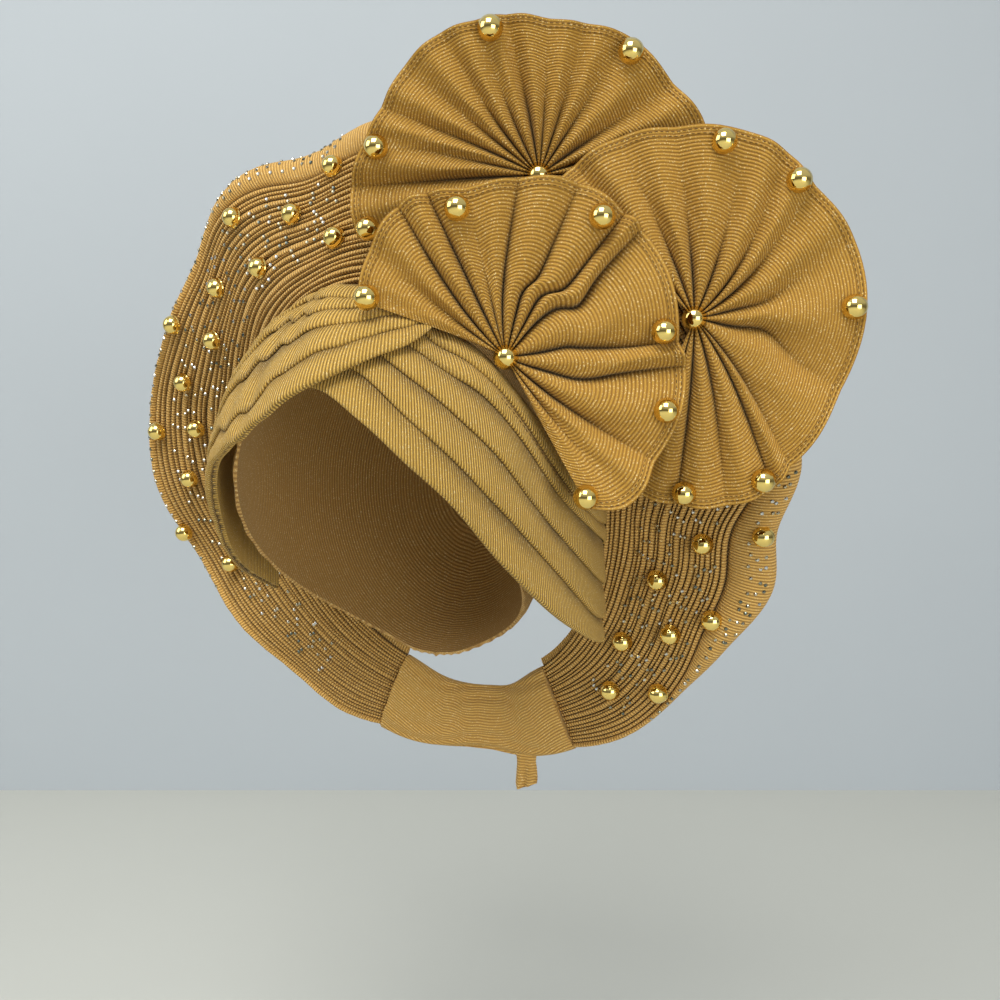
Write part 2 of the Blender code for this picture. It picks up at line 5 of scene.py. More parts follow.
import bmesh
import bpy
import numpy as np
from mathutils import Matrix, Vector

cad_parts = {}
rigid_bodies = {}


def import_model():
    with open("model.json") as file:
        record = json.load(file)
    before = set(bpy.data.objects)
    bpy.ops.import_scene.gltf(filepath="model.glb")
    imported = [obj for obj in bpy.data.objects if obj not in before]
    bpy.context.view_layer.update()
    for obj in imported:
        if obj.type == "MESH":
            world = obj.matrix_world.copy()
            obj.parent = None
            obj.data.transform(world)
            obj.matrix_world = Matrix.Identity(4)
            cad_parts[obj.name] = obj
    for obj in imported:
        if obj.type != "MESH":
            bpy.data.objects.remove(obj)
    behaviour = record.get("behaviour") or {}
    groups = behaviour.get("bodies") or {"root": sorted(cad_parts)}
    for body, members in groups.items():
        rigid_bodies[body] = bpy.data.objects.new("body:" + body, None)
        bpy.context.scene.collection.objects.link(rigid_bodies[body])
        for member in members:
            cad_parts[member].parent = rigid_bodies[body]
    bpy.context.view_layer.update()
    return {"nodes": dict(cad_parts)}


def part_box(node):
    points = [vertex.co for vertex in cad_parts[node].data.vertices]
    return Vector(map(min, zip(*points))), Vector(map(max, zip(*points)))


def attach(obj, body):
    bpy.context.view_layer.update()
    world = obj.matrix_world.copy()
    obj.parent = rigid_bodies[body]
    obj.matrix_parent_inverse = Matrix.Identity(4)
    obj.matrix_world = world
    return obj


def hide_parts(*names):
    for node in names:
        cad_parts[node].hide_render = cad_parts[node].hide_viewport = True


for spare in list(bpy.data.objects):
    bpy.data.objects.remove(spare)
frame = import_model()

# Crown cap: a plain close cap of ribbed stretch cloth that every other layer is sewn to.
# It is cut from one panel with its cords from side to side, drawn in by small tucks at the
# edge, and the edge is turned under and pressed into a soft roll.
MM = 0.001
CLOTH = 2.0 * MM
SEAT_GAP = 0.4 * MM
CORD_PITCH = 1.8 * MM
CORD_ROUND = 0.7
THREAD_PITCH = 0.55 * MM
THREAD_HIGH = 0.12
FUZZ_SCALE = 1500
FUZZ_HIGH = 0.25
MOTTLE_SCALE = 26
# sparkle: painted glints, pale gold spots on a few cord tops, which are also less rough
SPARKLE_FROM = 0.64
PAINTED_GLINT_SHARE = 0.55
SPARKLE_POLISH = 0.35
PAINTED_GLINT_COLOUR = (0.95, 0.80, 0.42)
SHEEN_COLOUR = (1.0, 0.82, 0.5)
CLOTH_ROUGH = 0.78
WORN_FROM = 0.35
WORN_GAIN = 0.9
WORN_TONE = 0.55
WELD = 1e-6
SHARP_FROM = 65
# wave number, step of the seed and weight of each sine that makes a line uneven
SHIFT_SINES = ((1.0, 1.7, 0.5), (2.3, 4.1, 0.32), (4.9, 2.9, 0.18))
HEAD_SIDE = 82 * MM
HEAD_DEEP = 102 * MM
HEAD_HIGH = 105 * MM
# turn round the head from the brow, height of the edge as a share of the head room's height
CAP_EDGE = (
    (0, 0.63),
    (42, 0.25),
    (60, -0.13),
    (80, -0.42),
    (113, -0.72),
    (150, -0.90),
    (180, -0.93),
)
CAP_TURNS = 240
CAP_RINGS = 96
CAP_TUCKS = 44
CAP_TUCK = 0.7 * MM
CAP_TUCK_FADE = 6
CAP_TUCK_WANDER = 0.6
CAP_TUCK_SHADE = 0.25
CAP_HEM = 0.6 * MM
CAP_HEM_AT = 0.975
CAP_HEM_WIDE = 0.02
CAP_SEAM = 0.5 * MM
CAP_SEAM_WIDE = 1.6
CAP_CORD_SPREAD = 1.08


def smooth(rows, column, where):
    """Hermite curve through one column of a table whose first column is the place."""
    table = np.array(rows, float)
    place = table[:, 0]
    value = table[:, column]
    slope = np.gradient(value, place)
    spot = np.clip(np.searchsorted(place, where) - 1, 0, len(place) - 2)
    span = place[spot + 1] - place[spot]
    part = held((where - place[spot]) / span)
    two = part * part
    three = two * part
    start = (2 * three - 3 * two + 1) * value[spot] + (three - 2 * two + part) * span * slope[spot]
    end = (3 * two - 2 * three) * value[spot + 1] + (three - two) * span * slope[spot + 1]
    return start + end


def held(value):
    """The value, kept between 0 and 1."""
    return np.clip(value, 0.0, 1.0)


def unit(vectors):
    """Vectors made one long."""
    size = np.linalg.norm(vectors, axis=-1, keepdims=True)
    return vectors / np.maximum(size, 1e-12)


def shifting(place, seed):
    """Slow uneven value from -1 to 1: a sum of sines of unrelated lengths, begun by the seed."""
    return sum(part * np.sin(place * many + seed * step) for many, step, part in SHIFT_SINES)


def grid_part(points, left, right):
    """Points, quads and corner places of a grid; left and right give each column's two sides."""
    rows, wide = points.shape[:2]
    i, j = np.meshgrid(np.arange(rows - 1), np.arange(wide - 1), indexing="ij")
    a = i * wide + j
    quads = np.stack([a, a + 1, a + wide + 1, a + wide], -1).reshape(-1, 4)
    corners = np.stack([left[:-1], right[:-1], right[1:], left[1:]], 2).reshape(-1, 2)
    return points.reshape(-1, 3), quads, corners


def plain_part(points, places):
    """A grid whose cloth places are shared by neighbouring columns."""
    return grid_part(points, places[:, :-1], places[:, 1:])


def wall_part(one, two, places):
    """A wall between two edges with the same number of points."""
    points = np.stack([one, two], 1)
    return plain_part(points, np.stack([places, places], 1))


def row_length(points):
    """Distance along each column of a grid from its first row."""
    step = np.linalg.norm(np.diff(points, axis=0), axis=-1)
    return np.concatenate([np.zeros((1, points.shape[1])), np.cumsum(step, 0)])


def column_length(points):
    """Distance along each row of a grid from its first column."""
    return row_length(points.swapaxes(0, 1)).T


def sheet_parts(front, along, back, places):
    """Front and back of a sheet, walled round; along gives each front column's cord places."""
    over = column_length(front)
    left = np.stack([along, over[:, :-1]], -1)
    right = np.stack([along, over[:, 1:]], -1)
    spread = np.round(np.linspace(0, back.shape[1] - 1, front.shape[1])).astype(int)
    pieces = [grid_part(front, left, right), plain_part(back, places)]
    pieces.append(wall_part(front[:, 0], back[:, 0], left[:, 0]))
    pieces.append(wall_part(front[:, -1], back[:, -1], right[:, -1]))
    for end in (0, -1):
        pieces.append(wall_part(front[end], back[end][spread], places[end][spread]))
    return pieces


def cloth_piece(name, parts, mat, values=None):
    """Joins grids and walls into one closed mesh, seams merged and faces turned outwards."""
    points = np.concatenate([p[0] for p in parts])
    starts = np.cumsum([0] + [len(p[0]) for p in parts[:-1]])
    quads = np.concatenate([p[1] + s for p, s in zip(parts, starts)])
    corners = np.concatenate([p[2] for p in parts])
    mesh = bpy.data.meshes.new(name)
    mesh.from_pydata(points, [], quads.tolist())
    mesh.uv_layers.new(name="cloth").data.foreach_set("uv", corners.astype(np.float32).ravel())
    # values: painted shade for each point, kept as the fold attribute that darkens the cloth's tone
    shade = np.zeros(len(points), np.float32)
    if values is not None:
        shade[: values.size] = values.ravel()
    mesh.attributes.new("fold", "FLOAT", "POINT").data.foreach_set("value", shade)
    mesh.materials.append(mat)
    work = bmesh.new()
    work.from_mesh(mesh)
    bmesh.ops.remove_doubles(work, verts=work.verts, dist=WELD)
    bmesh.ops.recalc_face_normals(work, faces=work.faces)
    work.to_mesh(mesh)
    work.free()
    mesh.shade_smooth()
    mesh.set_sharp_from_angle(angle=math.radians(SHARP_FROM))
    obj = bpy.data.objects.new(name, mesh)
    bpy.context.scene.collection.objects.link(obj)
    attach(obj, "root")
    return obj


def add(tree, kind, **values):
    """A node with its plain settings."""
    node = tree.nodes.new(kind)
    for key, value in values.items():
        setattr(node, key, value)
    return node


def feed(tree, node, values):
    """Gives a node's inputs, by place or name, their numbers, colours or sockets."""
    for place, value in values.items():
        if isinstance(value, bpy.types.NodeSocket):
            tree.links.new(value, node.inputs[place])
        else:
            plain = (*value, 1.0) if isinstance(value, tuple) else value
            node.inputs[place].default_value = plain


def reckon(tree, operation, *values):
    """A maths node on sockets or numbers; puts out its value."""
    node = add(tree, "ShaderNodeMath", operation=operation)
    feed(tree, node, dict(enumerate(values)))
    return node.outputs[0]


def mixed(tree, share, one, two):
    """Colour between two, by a share; a colour mix has its two colours at places 6 and 7."""
    node = add(tree, "ShaderNodeMix", data_type="RGBA")
    feed(tree, node, {0: share, 6: one, 7: two})
    return node.outputs[2]


def noise(tree, scale, detail=2.0):
    """Noise from 0 to 1 on the object's own coordinates."""
    node = add(tree, "ShaderNodeTexNoise", noise_dimensions="3D")
    spot = add(tree, "ShaderNodeTexCoord").outputs["Object"]
    feed(tree, node, {"Vector": spot, "Scale": scale, "Detail": detail})
    return node.outputs[0]


def bare_finish(name):
    """A new material with its node tree and its shader."""
    mat = bpy.data.materials.new(name)
    mat.use_nodes = True
    return mat, mat.node_tree, mat.node_tree.nodes["Principled BSDF"]


def cord_weave():
    """Ribbed cloth: one cosine ridge each pitch across the cords, with fine threads over them."""
    tree = bpy.data.node_groups.new("cord_weave", "ShaderNodeTree")
    for name, kind in (("Place", "Vector"), ("Pitch", "Float"), ("Thread", "Float")):
        tree.interface.new_socket(name, in_out="INPUT", socket_type="NodeSocket" + kind)
    start = add(tree, "NodeGroupInput")
    split = add(tree, "ShaderNodeSeparateXYZ")
    tree.links.new(start.outputs["Place"], split.inputs[0])
    waves = []
    for axis, pitch in enumerate(("Pitch", "Thread")):
        turn = reckon(tree, "DIVIDE", split.outputs[axis], start.outputs[pitch])
        turn = reckon(tree, "COSINE", reckon(tree, "MULTIPLY", turn, math.tau))
        waves.append(reckon(tree, "MULTIPLY_ADD", turn, -0.5, 0.5))
    ridge, thread = waves
    fuzz = noise(tree, FUZZ_SCALE, 1.0)
    full = reckon(tree, "POWER", ridge, CORD_ROUND)
    height = reckon(tree, "ADD", full, reckon(tree, "MULTIPLY", thread, THREAD_HIGH))
    height = reckon(tree, "ADD", height, reckon(tree, "MULTIPLY", fuzz, FUZZ_HIGH))
    # Sparkle: spots on the cord tops that get painted glints.
    glint = reckon(tree, "MULTIPLY", reckon(tree, "GREATER_THAN", fuzz, SPARKLE_FROM), ridge)
    ways_out = {
        "Ridge": full,
        "Height": height,
        "Sparkle": glint,
        "Mottle": noise(tree, MOTTLE_SCALE, 3.0),
    }
    end = add(tree, "NodeGroupOutput")
    for name, value in ways_out.items():
        tree.interface.new_socket(name, in_out="OUTPUT", socket_type="NodeSocketFloat")
        tree.links.new(value, end.inputs[name])
    return tree


def ribbed_cloth(name, ridge, groove, deep, relief):
    """Cloth finish: painted shade in cord grooves and fold feet, and painted glints."""
    mat, tree, shader = bare_finish(name)
    weave = add(tree, "ShaderNodeGroup")
    weave.node_tree = WEAVE
    place = add(tree, "ShaderNodeUVMap", uv_map="cloth").outputs[0]
    feed(tree, weave, {"Place": place, "Pitch": CORD_PITCH, "Thread": THREAD_PITCH})
    sparkle = weave.outputs["Sparkle"]
    fold = add(tree, "ShaderNodeAttribute", attribute_name="fold")
    # Painted shade: the grooves between the cords take the darker groove tone.
    tone = mixed(tree, weave.outputs["Ridge"], groove, ridge)
    worn = reckon(tree, "SUBTRACT", weave.outputs["Mottle"], WORN_FROM)
    worn = reckon(tree, "MULTIPLY", worn, WORN_GAIN)
    worn.node.use_clamp = True
    faded = tuple(WORN_TONE * a + (1 - WORN_TONE) * b for a, b in zip(ridge, groove))
    tone = mixed(tree, worn, tone, faded)
    # Painted shade: the fold attribute darkens the tone to deep at the feet of folds.
    tone = mixed(tree, fold.outputs["Fac"], tone, deep)
    # Painted glints: a few cord-top spots are coloured pale gold.
    glint = reckon(tree, "MULTIPLY", sparkle, PAINTED_GLINT_SHARE)
    tone = mixed(tree, glint, tone, PAINTED_GLINT_COLOUR)
    bump = add(tree, "ShaderNodeBump")
    feed(tree, bump, {"Strength": 1.0, "Distance": relief, "Height": weave.outputs["Height"]})
    feed(tree, shader, {
        "Base Color": tone,
        "Roughness": reckon(tree, "MULTIPLY_ADD", sparkle, -SPARKLE_POLISH, CLOTH_ROUGH),
        "Specular IOR Level": 0.28,
        "Sheen Weight": 0.12,
        "Sheen Roughness": 0.45,
        "Sheen Tint": SHEEN_COLOUR,
        "Normal": bump.outputs[0],
    })
    return mat


def cap_surface(turn, share, grow):
    """Head ellipsoid grown by a wall: turn goes round, share from the crown to the cap's edge."""
    fold = np.where(turn > 180, 360 - turn, turn)
    edge = smooth(CAP_EDGE, 1, fold)
    polar = np.arccos(edge) * share
    ang = np.radians(turn)
    ring = np.sin(polar)
    x = (HEAD_SIDE + grow) * ring * np.sin(ang)
    y = -(HEAD_DEEP + grow) * ring * np.cos(ang)
    z = (HEAD_HIGH + grow) * np.cos(polar)
    return np.stack([x, y, z], -1)


def make_cap(mat):
    """Outer and inner domes; tucks grow towards the edge, and a low seam runs down the back."""
    turns = np.linspace(0, 360, CAP_TURNS + 1)
    turn, share = np.meshgrid(turns, np.linspace(0, 1, CAP_RINGS), indexing="ij")
    ang = np.radians(turn)
    near_edge = share ** CAP_TUCK_FADE
    tuck = CAP_TUCK * np.cos(ang * CAP_TUCKS + CAP_TUCK_WANDER * np.sin(ang * 5)) * near_edge
    hem = CAP_HEM * np.exp(-((share - CAP_HEM_AT) / CAP_HEM_WIDE) ** 2)
    seam = CAP_SEAM * np.exp(-((turn - 180) / CAP_SEAM_WIDE) ** 2) * held(share * 3)
    grow = CLOTH + tuck * 0.5 + hem - CAP_TUCK * 0.5 * near_edge + seam
    outer = cap_surface(turn, share, grow)
    inner = cap_surface(turn, share, 0 * share)
    cords = np.arcsin(np.clip(outer[..., 1] / (HEAD_DEEP * CAP_CORD_SPREAD), -1, 1)) * HEAD_DEEP
    places = np.stack([cords, outer[..., 0]], -1)
    parts = [plain_part(outer, places), plain_part(inner, places)]
    parts.append(wall_part(outer[:, -1], inner[:, -1], places[:, -1]))
    # Painted shade in the hollows between the tucks near the edge.
    shade = CAP_TUCK_SHADE * held(-np.cos(ang * CAP_TUCKS)) * near_edge
    return cloth_piece("cap_cloth", parts, mat, shade)


WEAVE = cord_weave()
# groove and deep tones: painted shade in the cord grooves and the tucks' hollows
cap_finish = ribbed_cloth(
    "cap_finish", (0.46, 0.27, 0.075), (0.23, 0.115, 0.028), (0.10, 0.045, 0.012), 0.30 * MM
)
cap = make_cap(cap_finish)
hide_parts("crown_cap")

# Halo: one long strip of the same cloth laid in two dozen pleats round the head, each pleat a
# cord-like roll, with the cloth's own cords across it. A stiff wire holds the leaning rim,
# and the last turn of cloth is rolled back over it as a flange of uneven width.
WING_STAND = 20 * MM
BRIM_REACH = 200 * MM
BRIM_FORWARD = 45 * MM
BRIM_LEAN = 0.30
BRIM_PLEATS = 24
BRIM_THICK = 4.0 * MM
JOIN_BACK = 6 * MM
JOIN_GAP = 0.9 * MM
JOIN_FADE = (104.0, 126.0, 0.06)
PLEAT_RISE = 3.0 * MM
PLEAT_SKEW = 0.62
PLEAT_SINK = 0.7 * MM
PLEAT_ROUND = 0.42
PLEAT_WANDER = 0.40
PLEAT_UNEVEN = 0.12
PLEAT_SHIFT = 0.24
PLEAT_FADE = 25.0
PLEAT_CROWDING = 1.15
# strength of the painted shade at the pleats' feet, and the share of each pleat's side it covers
PLEAT_SHADE = 0.95
PLEAT_FOOT = 0.13
FLANGE_RISE = 3.0 * MM
FLANGE_PUFF = 9 * MM
FLANGE_LEAST = 0.08
FLANGE_TURN = 2.4 * MM
FLANGE_PUCKER = 0.35 * MM
SLOPE_STEP = 0.5
CORD_SLIP = 40 * MM
RIM_WAVES = 12
RIM_WAVE = 3.5 * MM
HALO_TURNS = 340
JOIN_STEPS = 4
PLEAT_STEPS = 7
FLANGE_STEPS = 16
HALO_BACK_STEPS = 20
# turn from the top, inner edge off the head as a share of the wings' stand-off,
# its depth as a share of the head room's depth, rim as a share of the reach
BRIM_ROWS = (
    (-157, 1.09, 0.902, 0.870),
    (-138, 0.97, 0.745, 0.920),
    (-119, 0.90, 0.627, 0.950),
    (-105, 0.85, 0.549, 0.990),
    (-90, 0.90, 0.461, 1.040),
    (-75, 0.85, 0.294, 1.050),
    (-61, 0.75, 0.078, 0.990),
    (-50, 0.63, -0.078, 0.990),
    (-38, 0.44, -0.216, 1.020),
    (-27, 0.27, -0.314, 1.010),
    (-17, 0.15, -0.373, 0.975),
    (-5, 0.07, -0.412, 0.980),
    (15, 0.16, -0.382, 0.990),
    (35, 0.43, -0.245, 0.980),
    (55, 0.71, 0.000, 0.980),
    (72, 0.87, 0.235, 0.980),
    (86, 0.90, 0.441, 1.035),
    (97, 0.89, 0.529, 0.970),
    (107, 0.88, 0.588, 0.985),
    (118, 0.91, 0.657, 0.935),
    (128, 0.96, 0.706, 0.910),
    (145, 1.03, 0.824, 0.905),
    (157, 1.09, 0.902, 0.875),
)
# turn, share of the width taken by the flange
FLANGE_WIDTHS = (
    (-157, 0.07),
    (-120, 0.07),
    (-60, 0.06),
    (-38, 0.09),
    (-18, 0.20),
    (10, 0.17),
    (70, 0.15),
    (88, 0.19),
    (104, 0.27),
    (116, 0.21),
    (130, 0.08),
    (157, 0.06),
)


def brim_base(turn, across):
    """Ruled surface: straight lines from the inner edge near the head to the leaning rim."""
    ang = np.radians(turn)
    head = 1 / np.hypot(np.sin(ang) / HEAD_SIDE, np.cos(ang) / HEAD_HIGH)
    inner = head + smooth(BRIM_ROWS, 1, turn) * WING_STAND
    deep = smooth(BRIM_ROWS, 2, turn) * HEAD_DEEP
    rim = smooth(BRIM_ROWS, 3, turn) * BRIM_REACH
    inside = np.stack([inner * np.sin(ang), deep, inner * np.cos(ang)], -1)
    high = rim * np.cos(ang)
    outside = np.stack([rim * np.sin(ang), BRIM_FORWARD - BRIM_LEAN * high, high], -1)
    ahead = np.maximum(across, 0.0)[..., None]
    behind = np.minimum(across, 0.0)[..., None]
    return inside + (outside - inside) * ahead + brim_join(turn, inner, deep) * behind


def brim_join(turn, inner, deep):
    """Way from the cap to the halo's inner edge, for the plain strip between them."""
    ang = np.radians(turn)
    end = deep + JOIN_BACK
    near = np.where(end > 0, end, np.minimum(end + BRIM_THICK, 0.0))
    ring = np.sqrt(1 - (near / (HEAD_DEEP + CLOTH)) ** 2)
    round_cap = np.hypot(np.sin(ang) / (HEAD_SIDE + CLOTH), np.cos(ang) / (HEAD_HIGH + CLOTH))
    cap_edge = ring / round_cap + JOIN_GAP
    start, stop, least = JOIN_FADE
    keep = 1 - (1 - least) * held((np.abs(turn) - start) / (stop - start))
    gap = (inner - cap_edge) * keep
    return np.stack([gap * np.sin(ang), -JOIN_BACK * keep, gap * np.cos(ang)], -1)


def brim_normal(turn, across):
    """Forward normal: across the way round and the way out."""
    along = brim_base(turn + SLOPE_STEP, across) - brim_base(turn - SLOPE_STEP, across)
    out = brim_base(turn, across * 0 + 1) - brim_base(turn, across * 0)
    return unit(np.cross(along, out))


def brim_surface(turn, across, rise):
    """Ruled surface raised along its normal, with the rim's slow waves."""
    wave = RIM_WAVE * np.cos(np.radians(turn) * RIM_WAVES) * np.maximum(across, 0.0) ** 3
    return brim_base(turn, across) + brim_normal(turn, across) * (rise + wave)[..., None]


def pleat_line(turn, number):
    """Share across of a pleat's inner foot: even steps inside the flange, wandering a little."""
    pleats = 1.0 - smooth(FLANGE_WIDTHS, 1, turn)
    wander = PLEAT_WANDER * shifting(np.radians(turn) * 3.1, number * 1.3)
    wander = wander + PLEAT_UNEVEN * np.sin(number * 2.7)
    inside = np.sin(np.pi * held(number / BRIM_PLEATS)) ** 0.5
    return pleats * (number + wander * inside) / BRIM_PLEATS


def pleat_height(turn, number, part):
    """Rolled pleat: a steep inner side, a round top and a long outer side, uneven along its way."""
    near_end = held((BRIM_ROWS[-1][0] - np.abs(turn)) / PLEAT_FADE)
    uneven = 1.0 + PLEAT_SHIFT * shifting(np.radians(turn) * 4.3, number * 2.7)
    full = PLEAT_RISE * (0.5 + 0.4 * near_end) * uneven
    bow = np.sin(np.pi * held(part) ** PLEAT_SKEW)
    return (full + PLEAT_SINK) * np.maximum(bow, 0.0) ** PLEAT_ROUND - PLEAT_SINK


def halo_spot(turn, pleats):
    """Point of the pleated front at a count of pleats from the inner edge."""
    number = np.floor(pleats)
    part = pleats - number
    across = pleat_line(turn, number) * (1 - part) + pleat_line(turn, number + 1) * part
    return brim_surface(turn, across, pleat_height(turn, number, part))


def flange_spot(turn, share):
    """Point of the rolled flange: share 0 at the last pleat, 1 at the edge behind the rim."""
    first = pleat_line(turn, BRIM_PLEATS + 0 * turn)
    wide = 1.0 - first
    roll = np.sin(np.pi * held(share) ** 0.75) ** 0.7
    full = FLANGE_RISE + FLANGE_PUFF * held(wide - FLANGE_LEAST)
    rise = -PLEAT_SINK + (full + PLEAT_SINK) * roll - FLANGE_TURN * share ** 4
    pucker = FLANGE_PUCKER * shifting(np.radians(turn) * 55, 3.0) * np.sin(np.pi * share)
    return brim_surface(turn, first + wide * (1 - (1 - share) ** 1.35), rise + pucker)


def make_halo(mat):
    """Front of pleats and flange, plain back; each pleat's cords are measured along its own top."""
    turns = np.linspace(BRIM_ROWS[0][0], BRIM_ROWS[-1][0], HALO_TURNS)
    parts = np.linspace(0, 1, PLEAT_STEPS + 1)[:-1] ** PLEAT_CROWDING
    pleats = (np.arange(BRIM_PLEATS)[:, None] + parts[None, :]).ravel()
    body = halo_spot(*np.meshgrid(turns, pleats, indexing="ij"))
    shares = np.linspace(0, 1, FLANGE_STEPS + 1)
    flange = flange_spot(*np.meshgrid(turns, shares, indexing="ij"))
    joins = np.linspace(-1, 0, JOIN_STEPS + 1)[:-1]
    turn, strip = np.meshgrid(turns, joins, indexing="ij")
    join = brim_surface(turn, strip, 0 * strip)
    front = np.concatenate([join, body, flange], 1)
    pick = np.concatenate([
        np.full(JOIN_STEPS, JOIN_STEPS),
        JOIN_STEPS + (np.floor(pleats) * PLEAT_STEPS + PLEAT_STEPS // 2).astype(int),
        np.full(FLANGE_STEPS, JOIN_STEPS + len(pleats) + FLANGE_STEPS // 2),
    ])
    along = row_length(front)[:, pick] + (np.sin(pick * 12.9) * CORD_SLIP)[None, :]
    # Painted shade: dark at each pleat's foot on both sides, faint on the join strip, dark where
    # the flange starts.
    foot = held(1 - np.minimum(parts, 1 - parts) / PLEAT_FOOT) ** 0.8
    foot = np.tile(0.06 + 0.94 * foot, BRIM_PLEATS)
    foot = np.concatenate([np.full(JOIN_STEPS, 0.2), foot, [0.9], np.zeros(FLANGE_STEPS)])
    across = np.append(-1.0, np.linspace(0, 1, HALO_BACK_STEPS))
    turn, across = np.meshgrid(turns, across, indexing="ij")
    back = brim_surface(turn, across, -BRIM_THICK * (1 + 0.5 * np.minimum(across, 0.0)))
    middle = row_length(back)[:, HALO_BACK_STEPS // 2, None]
    places = np.stack([middle + 0 * across, column_length(back)], -1)
    pieces = sheet_parts(front, along, back, places)
    shade = np.repeat(foot[None, :] * PLEAT_SHADE, HALO_TURNS, 0)
    return cloth_piece("halo_cloth", pieces, mat, shade)


# groove and deep tones: painted shade in the cord grooves and at the pleats' feet
halo_finish = ribbed_cloth(
    "halo_finish", (0.70, 0.42, 0.105), (0.33, 0.16, 0.034), (0.04, 0.016, 0.005), 0.55 * MM
)
halo = make_halo(halo_finish)
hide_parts("halo")

# Wings: two bands of the same cloth, each laid in five knife pleats across the front. Every pleat
# is a soft roll along its folded lower edge, and the right wing crosses over the left one and
# is puckered where it was drawn tight to the halo. Both are hand-sewn to the cap.
KNIFE_RISE = 3.4 * MM
KNIFE_OUT = 2.1 * MM
KNIFE_SHIFT = 0.22
KNIFE_FALL = 0.86
KNIFE_BELLY = 0.10
WING_PLEATS = 5
WING_RIPPLE = 0.4 * MM
WING_SLIP = 30 * MM
PINCH_FULL = 3
PINCH_WIDE = 0.8
WING_TURNS = 300
ROLL_STEPS = 7
PANEL_STEPS = 13
WING_BACK_STEPS = 12
# turn, stand-off share, share laid over the other wing,
# lower edge, four pleat lines and top edge as shares of the head room's height, rise share
WINGS = {
    "right_wing": (
        (-102, 0.88, 0.0, -0.590, -0.457, -0.324, -0.190, -0.057, 0.076, 0.8),
        (-80, 0.68, 0.0, -0.381, -0.248, -0.095, 0.057, 0.210, 0.343, 0.9),
        (-60, 0.45, 0.0, -0.076, 0.057, 0.210, 0.362, 0.495, 0.610, 1.0),
        (-42, 0.33, 0.0, 0.133, 0.257, 0.410, 0.552, 0.686, 0.800, 1.0),
        (-28, 0.30, 0.0, 0.200, 0.305, 0.533, 0.724, 0.838, 0.895, 1.0),
        (-13, 0.32, 0.1, 0.305, 0.429, 0.629, 0.762, 0.848, 0.905, 1.0),
        (-5, 0.27, 0.6, 0.371, 0.514, 0.667, 0.762, 0.829, 0.895, 1.0),
        (3, 0.18, 1.0, 0.429, 0.571, 0.686, 0.762, 0.819, 0.886, 1.0),
        (12, 0.19, 1.0, 0.486, 0.600, 0.695, 0.762, 0.810, 0.876, 1.0),
        (24, 0.20, 1.0, 0.562, 0.657, 0.724, 0.771, 0.810, 0.857, 0.8),
        (35, 0.21, 1.0, 0.625, 0.690, 0.740, 0.781, 0.810, 0.838, 0.7),
        (44, 0.28, 1.0, 0.700, 0.735, 0.765, 0.791, 0.812, 0.833, 0.5),
    ),
    "left_wing": (
        (-4, 0.00, 0.0, 0.476, 0.552, 0.629, 0.695, 0.762, 0.819, 0.4),
        (6, 0.18, 0.0, 0.457, 0.571, 0.648, 0.724, 0.781, 0.838, 0.6),
        (20, 0.19, 0.0, 0.324, 0.505, 0.629, 0.705, 0.771, 0.829, 0.9),
        (34, 0.21, 0.0, 0.133, 0.324, 0.505, 0.648, 0.733, 0.800, 1.0),
        (42, 0.27, 0.0, 0.019, 0.210, 0.410, 0.571, 0.667, 0.752, 1.0),
        (60, 0.35, 0.0, -0.305, -0.067, 0.143, 0.362, 0.486, 0.610, 1.0),
        (80, 0.57, 0.0, -0.590, -0.381, -0.190, 0.000, 0.086, 0.229, 1.0),
        (98, 0.83, 0.0, -0.743, -0.610, -0.410, -0.190, -0.124, 0.019, 1.0),
        (113, 0.97, 0.0, -0.800, -0.676, -0.495, -0.267, -0.171, -0.038, 0.8),
    ),
}
# puckers: turn, pleat line, height thrown up and then down (mm), half length in degrees
PUCKERS = {
    "right_wing": (
        (-24, 0, 1.0, 3.4),
        (-12, 0, 0.8, 3.8),
        (-33, 1, 1.6, 3.4),
        (-21, 1, 2.4, 3.3),
        (-7, 1, 1.7, 3.5),
        (-32, 2, 1.9, 3.4),
        (-22, 2, 2.5, 3.1),
        (-12, 2, 2.1, 3.3),
        (-29, 3, 1.9, 3.4),
        (-20, 3, 2.4, 3.1),
        (-10, 3, 1.6, 3.3),
        (-25, 4, 1.4, 3.2),
        (-16, 4, 1.5, 3.2),
    ),
    "left_wing": (
        (26, 3, 1.4, 5),
        (40, 4, 1.8, 4),
        (50, 3, -1.4, 6),
        (63, 2, 1.0, 6),
    ),
}


def wing_point(turn, high, off):
    """Head ellipsoid pushed out by a stand-off; upright below its widest ring."""
    ang = np.radians(turn)
    side = HEAD_SIDE + CLOTH + SEAT_GAP
    deep = HEAD_DEEP + CLOTH + SEAT_GAP
    tall = HEAD_HIGH + CLOTH + SEAT_GAP
    above = np.maximum(high, 0.0) / tall
    ring = np.sqrt(np.maximum(1 - above ** 2, 0.01))
    x = side * np.sin(ang) * ring
    y = -deep * np.cos(ang) * ring
    out = unit(np.stack([np.sin(ang) / side * ring, -np.cos(ang) / deep * ring, above / tall], -1))
    return np.stack([x, y, high], -1) + out * off[..., None]


def wing_lines(name, turns):
    """Heights of a wing's edges and pleat lines; a pucker throws a line up, then down."""
    rows = WINGS[name]
    lines = np.stack([smooth(rows, c, turns) for c in range(3, 9)], 1) * HEAD_HIGH
    for where, line, move, wide in PUCKERS[name]:
        away = (turns - where) / wide
        lines[:, line] -= move * MM * away * np.exp(0.5 - away ** 2 / 2)
    return lines


def panel_rise(share):
    """A panel's rise, as a share of the roll's, from the roll's top to the next line."""
    return 1.04 - KNIFE_FALL * share ** 1.6 + KNIFE_BELLY * np.sin(np.pi * share)


